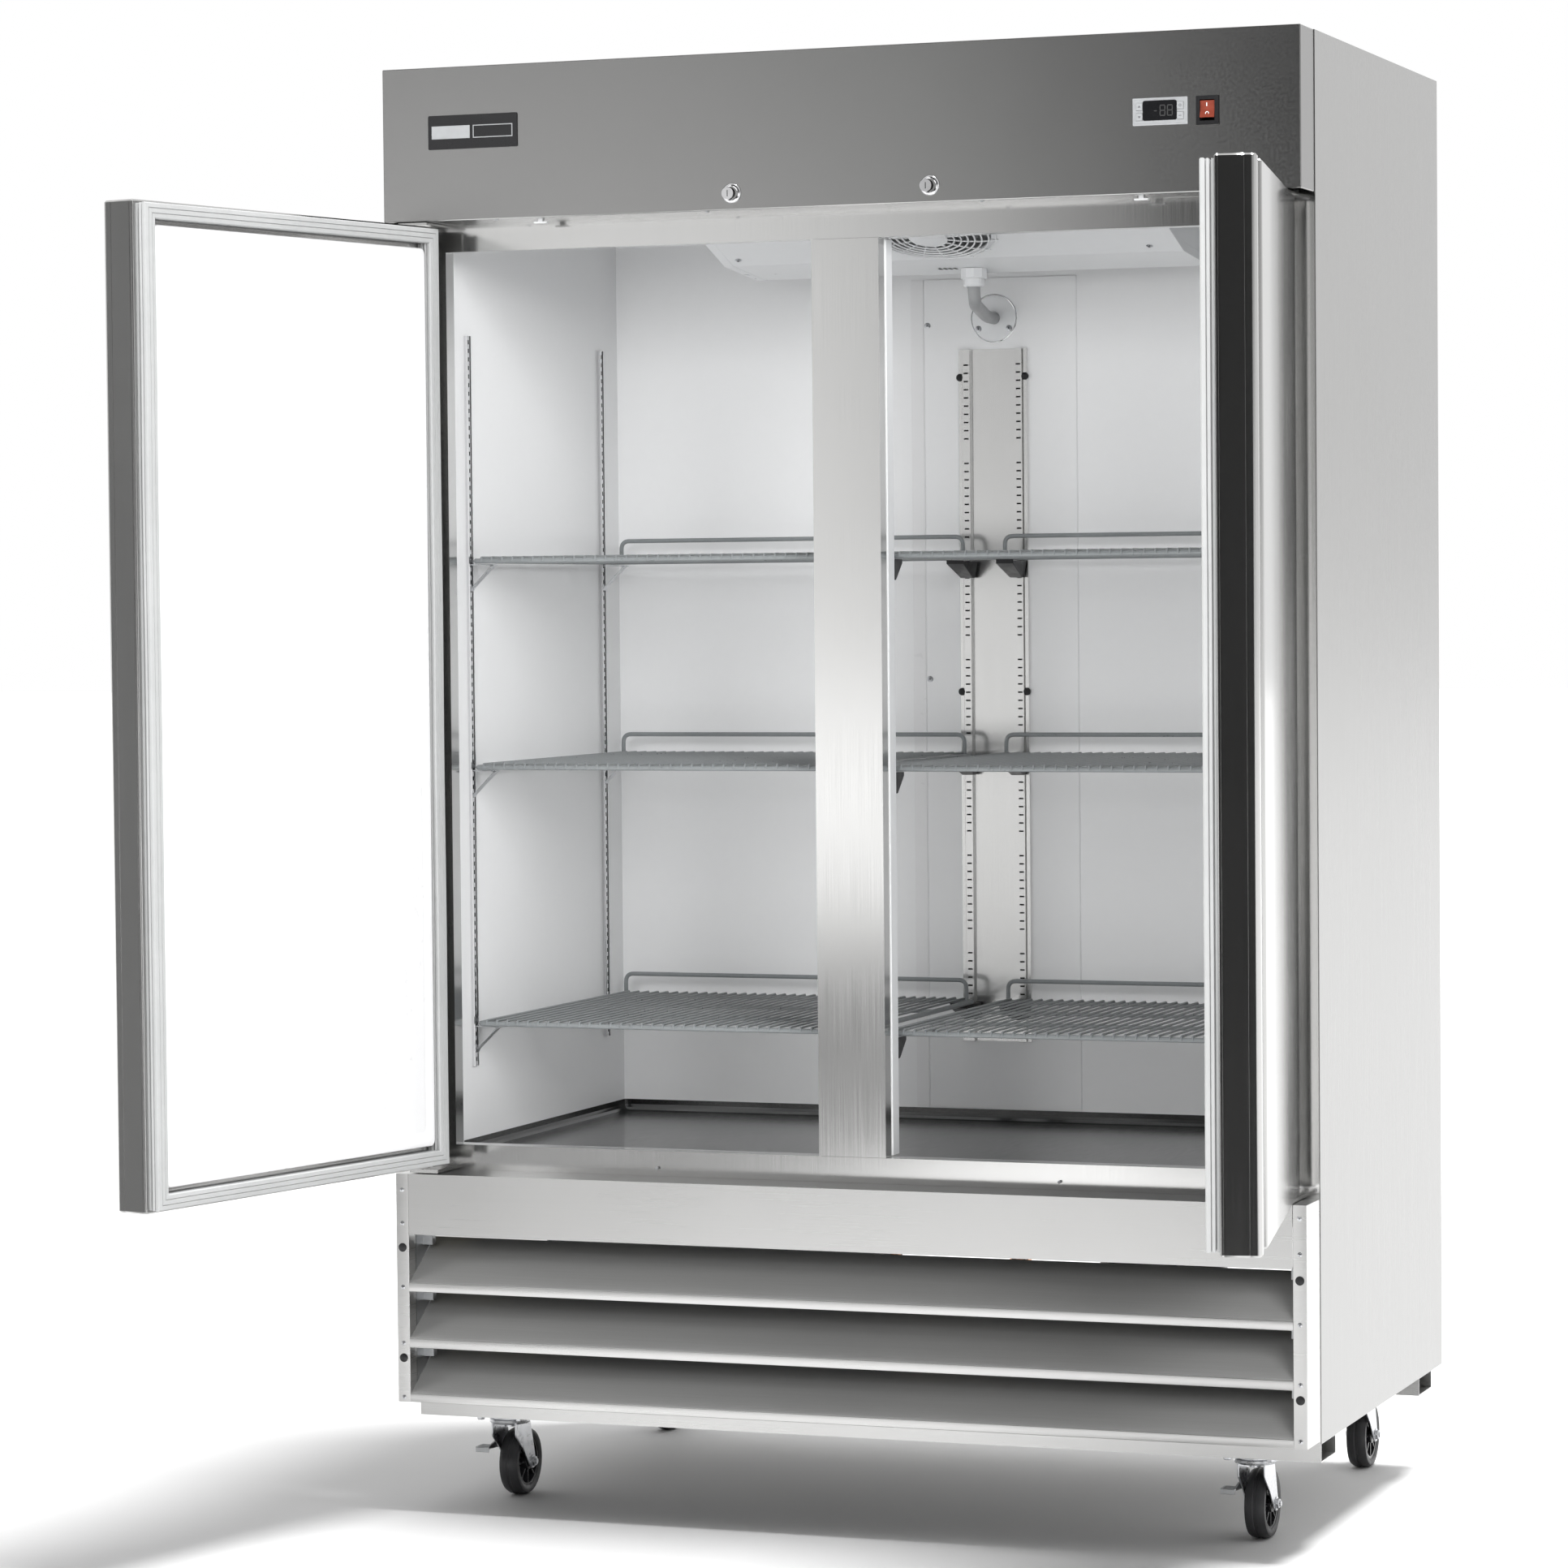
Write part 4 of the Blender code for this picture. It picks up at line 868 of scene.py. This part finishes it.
def build_brake(name, body, x, y):
    """A lever beside the wheel, with a ribbed tread and a folded lip."""
    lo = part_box("brake_pedal_" + name)[0]
    bm = bmesh.new()
    arm = rounded([(y + 0.030, 0.0720, 0.004), (y + 0.030, 0.0850, 0.005), (y - 0.006, 0.0850, 0.006),
                   (y - 0.0290, 0.0800, 0.003), (y - 0.0290, 0.0765, 0.001), (y + 0.002, 0.0745, 0.004)], 4)
    add_prism(bm, arm, x - 0.0245, x - 0.0215, 0.0004, "X")
    tread = rounded([(lo.x, lo.y, 0.004), (x - 0.0215, lo.y, 0.002), (x - 0.0215, lo.y + 0.024, 0.002),
                     (lo.x, lo.y + 0.026, 0.004)])
    add_prism(bm, tread, 0.0778, 0.0796, 0.0004)
    for k in range(4):
        rib = lo.y + 0.004 + 0.005 * k
        add_box(bm, (lo.x + 0.003, rib, 0.0795), (x - 0.026, rib + 0.0018, 0.0802))
    lip = rounded([(lo.y, 0.0796, 0.001), (lo.y, 0.0715, 0.001), (lo.y + 0.0016, 0.0715, 0),
                   (lo.y + 0.0016, 0.0790, 0)])
    add_prism(bm, lip, lo.x + 0.001, x - 0.0225, 0, "X")
    piece("brake_lever_" + name, bm, GALVANISED, body, replaces=["brake_pedal_" + name])


def build_caster(end, side):
    name = f"{end}_{side}"
    x, y, _ = JOINTS[f"swivel_{name}_turn"]["pos_m"]
    hub = JOINTS[f"wheel_{name}_roll"]["pos_m"]
    build_yoke(name, x, y, hub[1], hub[2])
    build_wheel(name, hub)
    if end == "front":
        build_brake(name, "brake_" + side, x, y)


def build_base():
    bm = bmesh.new()
    for side, _ in SIDES:
        for end in ("front", "rear"):
            x, y = JOINTS[f"swivel_{end}_{side}_turn"]["pos_m"][:2]
            for dx in (-0.031, 0.031):
                for dy in (-0.036, 0.036):
                    add_lathe(bm, [(0, 0), (0.0062, 0), (0.0062, 0.0040), (0.0050, 0.0050), (0, 0.0050)],
                              (x + dx, y + dy, 0.1270), (0, 0, -1), 6)
    piece("caster_bolts", bm, ZINC, "cabinet", smooth=False)
    bm = bmesh.new()
    for x in (-0.30, 0.31):
        add_lathe(bm, [(0, 0), (0.0022, 0), (0.0022, 0.0010), (0, 0.0012)],
                  (x, -0.004, 0.510), (0, -1, 0), 16)
    piece("sill_rivets", bm, ZINC, "cabinet")
    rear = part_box("outer_shell")[1].y
    places = [(x, rear, z) for x in (-0.66, -0.22, 0.22, 0.66) for z in (0.480, 2.085)]
    places += [(x, rear, z) for x in (-0.66, 0.66) for z in (0.88, 1.28, 1.68)]
    screws("rear_screws", places, (0, 1, 0), 0.0040)


# ---- machine bay ----
def build_condenser():
    """Fins between two end plates, rows of tube joined by bends, and the fan motor on its strap."""
    lo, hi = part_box("condenser_coil")
    y0, y1, z0, z1 = 0.060, 0.120, lo.z, hi.z
    bm = bmesh.new()
    for side in (lo.x, hi.x - 0.0015):
        add_box(bm, (side, y0 - 0.004, z0), (side + 0.0015, y1 + 0.004, z1), 1)
    fins = 92
    for k in range(fins):
        x = lo.x + 0.006 + (hi.x - lo.x - 0.012) * k / (fins - 1)
        add_box(bm, (x - 0.0003, y0, z0 + 0.004), (x + 0.0003, y1, z1 - 0.004), 0)
    pitch = 0.0285
    for k in range(9):
        for y in (y0 + 0.015, y1 - 0.015):
            z = z0 + 0.020 + pitch * k
            add_tube(bm, [(lo.x - 0.004, y, z), (hi.x + 0.004, y, z)], 0.0045, 8, 2)
            x, way = (hi.x + 0.004, 1) if k % 2 else (lo.x - 0.004, -1)
            if k < 8:
                add_tube(bm, [(x + way * 0.013 * math.sin(a), y, z + pitch / 2 * (1 - math.cos(a)))
                              for a in (math.pi * q / 8 for q in range(9))], 0.0045, 8, 2)
    for x in (lo.x, hi.x - 0.002):
        add_box(bm, (x, y1 + 0.003, 0.275), (x + 0.002, 0.2035, 0.315), 1)
    add_box(bm, (lo.x, 0.2015, 0.275), (hi.x, 0.2040, 0.315), 1)
    add_lathe(bm, [(0, -0.186), (0.033, -0.186), (0.036, -0.190), (0.036, -0.214), (0.033, -0.218),
                   (0.033, -0.2195), (0.036, -0.223), (0.036, -0.246), (0.030, -0.251), (0, -0.252)],
              (-0.240, 0, 0.295), (0, -1, 0), 36, mat=3)
    piece("finned_condenser", bm, [FINS, GALVANISED, COPPER, ENAMEL], "cabinet",
          smooth=False, replaces=["condenser_coil"])
    bm = bmesh.new()
    add_box(bm, (-0.640, 0.002, 0.4568), (0.640, 0.600, 0.4582))
    piece("bay_ceiling_sheet", bm, BLACK, "cabinet")


def build_compressor():
    """Its discharge, suction and liquid lines with the drier, its terminal box and its rubber feet."""
    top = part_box("compressor")[1].z
    cx, cy = 0.340, 0.420
    bm = bmesh.new()
    add_tube(bm, bend([(cx - 0.060, cy - 0.030, top - 0.012), (cx - 0.060, cy - 0.030, top + 0.022),
                       (0.150, cy - 0.060, top + 0.022), (0.150, 0.090, top + 0.022),
                       (0.040, 0.090, 0.412), (0.018, 0.090, 0.412)], 0.020), 0.0048, 10)
    add_tube(bm, bend([(cx + 0.050, cy + 0.020, top - 0.014), (cx + 0.050, cy + 0.020, 0.448),
                       (cx + 0.050, 0.640, 0.448), (cx + 0.050, 0.640, 0.457)], 0.018), 0.0065, 10)
    add_tube(bm, bend([(0.022, 0.105, 0.190), (0.060, 0.105, 0.190), (0.060, 0.560, 0.190),
                       (0.060, 0.600, 0.250), (0.060, 0.600, 0.457)], 0.020), 0.0032, 8)
    add_lathe(bm, [(0, 0.255), (0.006, 0.257), (0.017, 0.268), (0.017, 0.360), (0.006, 0.371), (0, 0.373)],
              (0.060, 0.600, 0), (0, 0, 1), 24)
    piece("refrigerant_lines", bm, COPPER, "cabinet")
    bm = bmesh.new()
    add_prism(bm, rounded([(cx + 0.085, cy - 0.032, 0.004), (cx + 0.128, cy - 0.032, 0.006),
                           (cx + 0.128, cy + 0.032, 0.006), (cx + 0.085, cy + 0.032, 0.004)]),
              0.215, 0.290, 0.003)
    piece("compressor_terminal_box", bm, BLACK, "cabinet")
    bm = bmesh.new()
    for dx in (-0.085, 0.085):
        for dy in (-0.060, 0.060):
            add_lathe(bm, [(0, 0.1638), (0.013, 0.1638), (0.013, 0.1680), (0.010, 0.1700), (0.010, 0.1740),
                           (0.006, 0.1760), (0, 0.1760)], (cx + dx, cy + dy, 0), (0, 0, 1), 20)
    piece("compressor_mounts", bm, RUBBER, "cabinet")


for build in (build_badge, build_controller, build_marks, build_locks, build_louvres, build_rear_bracket,
              build_uprights, build_rear_wall, build_evaporator, build_drain, build_base, build_condenser,
              build_compressor):
    build()
for side_name, sign in SIDES:
    for shelf_level in LEVELS:
        build_shelf(side_name, shelf_level)
    build_door(side_name, sign)
    for caster_end in ("front", "rear"):
        build_caster(caster_end, side_name)


# ---- studio ----
def build_camera():
    azimuth, down, roll = math.radians(20.403), math.radians(2.162), math.radians(-0.5286)
    ahead = Vector((-math.sin(azimuth) * math.cos(down), math.cos(azimuth) * math.cos(down), -math.sin(down)))
    right = Vector((math.cos(azimuth), math.sin(azimuth), 0))
    up = right.cross(ahead)
    x = right * math.cos(roll) + up * math.sin(roll)
    y = up * math.cos(roll) - right * math.sin(roll)
    data = bpy.data.cameras.new("camera")
    data.lens, data.sensor_width = 112.69, 36.0
    camera = bpy.data.objects.new("camera", data)
    facing = Matrix((x, y, -ahead)).transposed().to_4x4()
    camera.matrix_world = Matrix.Translation((2.3515, -6.5888, 1.3342)) @ facing
    bpy.context.scene.collection.objects.link(camera)
    bpy.context.scene.camera = camera


def area_light(name, at, target, size, power):
    data = bpy.data.lights.new(name, "AREA")
    data.shape, data.size, data.size_y, data.energy = "RECTANGLE", size[0], size[1], power
    o = bpy.data.objects.new(name, data)
    o.location = at
    o.rotation_euler = (Vector(target) - Vector(at)).to_track_quat("-Z", "Y").to_euler()
    bpy.context.scene.collection.objects.link(o)
    return o


def sheet(name, centre, facing, size, material):
    """One flat rectangle that belongs to the studio."""
    bm = bmesh.new()
    turned = Vector(facing).to_track_quat("Z", "Y")
    corners = [Vector(centre) + turned @ Vector((a * size[0] / 2, b * size[1] / 2, 0)) for a, b in
               ((-1, -1), (1, -1), (1, 1), (-1, 1))]
    bm.faces.new([bm.verts.new(p) for p in corners])
    o = new_object(name, bm, [material])
    return o


def flag(name, centre, facing, size, tone):
    """A dark card beside the camera, as in a studio: only metal sees it, never the camera."""
    card = surface(name, (tone, tone, tone), 0.9, 0.0, (3, 3, 3), 0.002, 0.002)
    o = sheet(name, centre, facing, size, card)
    o.visible_camera = o.visible_diffuse = o.visible_transmission = False
    return o


def keep_off(lights, objects, kind):
    """Light linking: these lights skip these objects, as receivers or as blockers."""
    group = bpy.data.collections.new("skipped_" + kind)
    for o in objects:
        group.objects.link(o)
    for member in group.collection_objects:
        member.light_linking.link_state = "EXCLUDE"
    for o in lights:
        setattr(o.light_linking, kind + "_collection", group)


def build_world():
    """White behind the object; towards the camera a studio that is dark in the middle and above."""
    world = bpy.data.worlds.new("studio")
    bpy.context.scene.world = world
    world.use_nodes = True
    tree = world.node_tree

    def ramp(source, lo, hi, stops):
        spread = tree.nodes.new("ShaderNodeMapRange")
        spread.inputs["From Min"].default_value, spread.inputs["From Max"].default_value = lo, hi
        tree.links.new(source, spread.inputs["Value"])
        n = tree.nodes.new("ShaderNodeValToRGB")
        n.color_ramp.interpolation = "LINEAR"
        stops = [((at - lo) / (hi - lo), v) for at, v in stops]
        while len(n.color_ramp.elements) < len(stops):
            n.color_ramp.elements.new(0.5)
        for e, (at, v) in zip(n.color_ramp.elements, stops):
            e.position, e.color = at, (v, v, v, 1)
        tree.links.new(spread.outputs["Result"], n.inputs["Fac"])
        return n.outputs["Color"]

    def mix(fac, a, b, kind="MIX"):
        n = tree.nodes.new("ShaderNodeMix")
        n.data_type, n.blend_type = "RGBA", kind
        for socket, value in ((n.inputs[0], fac), (n.inputs[6], a), (n.inputs[7], b)):
            if isinstance(value, bpy.types.NodeSocket):
                tree.links.new(value, socket)
            else:
                socket.default_value = value
        return n.outputs[2]

    coords = tree.nodes.new("ShaderNodeTexCoord")
    split = tree.nodes.new("ShaderNodeSeparateXYZ")
    tree.links.new(coords.outputs["Generated"], split.inputs["Vector"])
    across = ramp(split.outputs["X"], -1, 1, ((-0.98, 0.35), (-0.90, 0.14), (-0.62, 0.14), (-0.46, 0.90),
                                             (-0.34, 0.90), (-0.27, 0.12), (-0.20, 0.02), (0.20, 0.02),
                                             (0.42, 0.40), (0.90, 0.80)))
    height = ramp(split.outputs["Z"], -0.1, 1, ((0.0, 1.0), (0.083, 1.0), (0.115, 0.55), (0.20, 0.25),
                                               (0.4, 0.25), (0.95, 0.60)))
    front = ramp(split.outputs["Y"], -1, 1, ((-0.40, 1.0), (-0.05, 0.0)))
    studio = mix(front, (1, 1, 1, 1), mix(1.0, across, height, "MULTIPLY"))
    seen = tree.nodes.new("ShaderNodeLightPath")
    seen_white = mix(seen.outputs["Is Camera Ray"], studio, (1, 1, 1, 1))
    tree.links.new(seen_white, tree.nodes["Background"].inputs["Color"])


def build_studio():
    white = surface("studio_floor", (0.86, 0.86, 0.86), 0.75, 0.0, (3, 3, 3), 0.002, 0.004)
    floor = sheet("floor", (0, 0, 0), (0, 0, 1), (120, 120), white)
    build_world()
    keys = [area_light("key_right", (4.2, -4.6, 3.4), (0, 0, 1.1), (2.6, 2.6), 330),
            area_light("fill_left", (-4.6, -3.0, 3.0), (0, 0, 1.1), (2.2, 2.6), 150),
            area_light("fill_front", (0.4, -6.2, 2.4), (0.1, 0.3, 1.5), (2.4, 1.6), 150)]
    for key in keys:
        key.visible_glossy = False
    data = bpy.data.lights.new("overhead", "SUN")
    data.energy, data.angle = 3.8, math.radians(16)
    sun = bpy.data.objects.new("overhead", data)
    sun.rotation_euler = Vector((-0.23, -0.05, -1)).to_track_quat("-Z", "Y").to_euler()
    bpy.context.scene.collection.objects.link(sun)
    cards = [flag("flag_front", (1.10, -2.6, 1.36), (0, 1, 0), (1.2, 2.68), 0.02),
             flag("flag_left", (-2.36, -1.6, 1.36), (0.863, 0.504, 0), (1.3, 2.68), 0.15),
             flag("flag_middle", (-0.12, -4.4, 1.36), (0, 1, 0), (1.45, 2.68), 0.02),
             # Two cards flat on the floor that only reflections see: painted shade of the floor in the
             # steel's reflections, while the camera sees the floor white.
             flag("reflected_floor_shade_left", (-3.2, -6.8, 0.004), (0, 0, 1), (3.7, 10.6), 0.12),
             flag("reflected_floor_shade_right", (2.1, -6.8, 0.004), (0, 0, 1), (2.4, 9.6), 0.03)]
    for card in cards[3:]:
        card.visible_shadow = False
    keep_off(keys, [floor], "receiver")
    keep_off(keys + [sun], cards, "blocker")
    bpy.context.scene.view_settings.view_transform = "Standard"


build_camera()
build_studio()

bpy.context.view_layer.update()
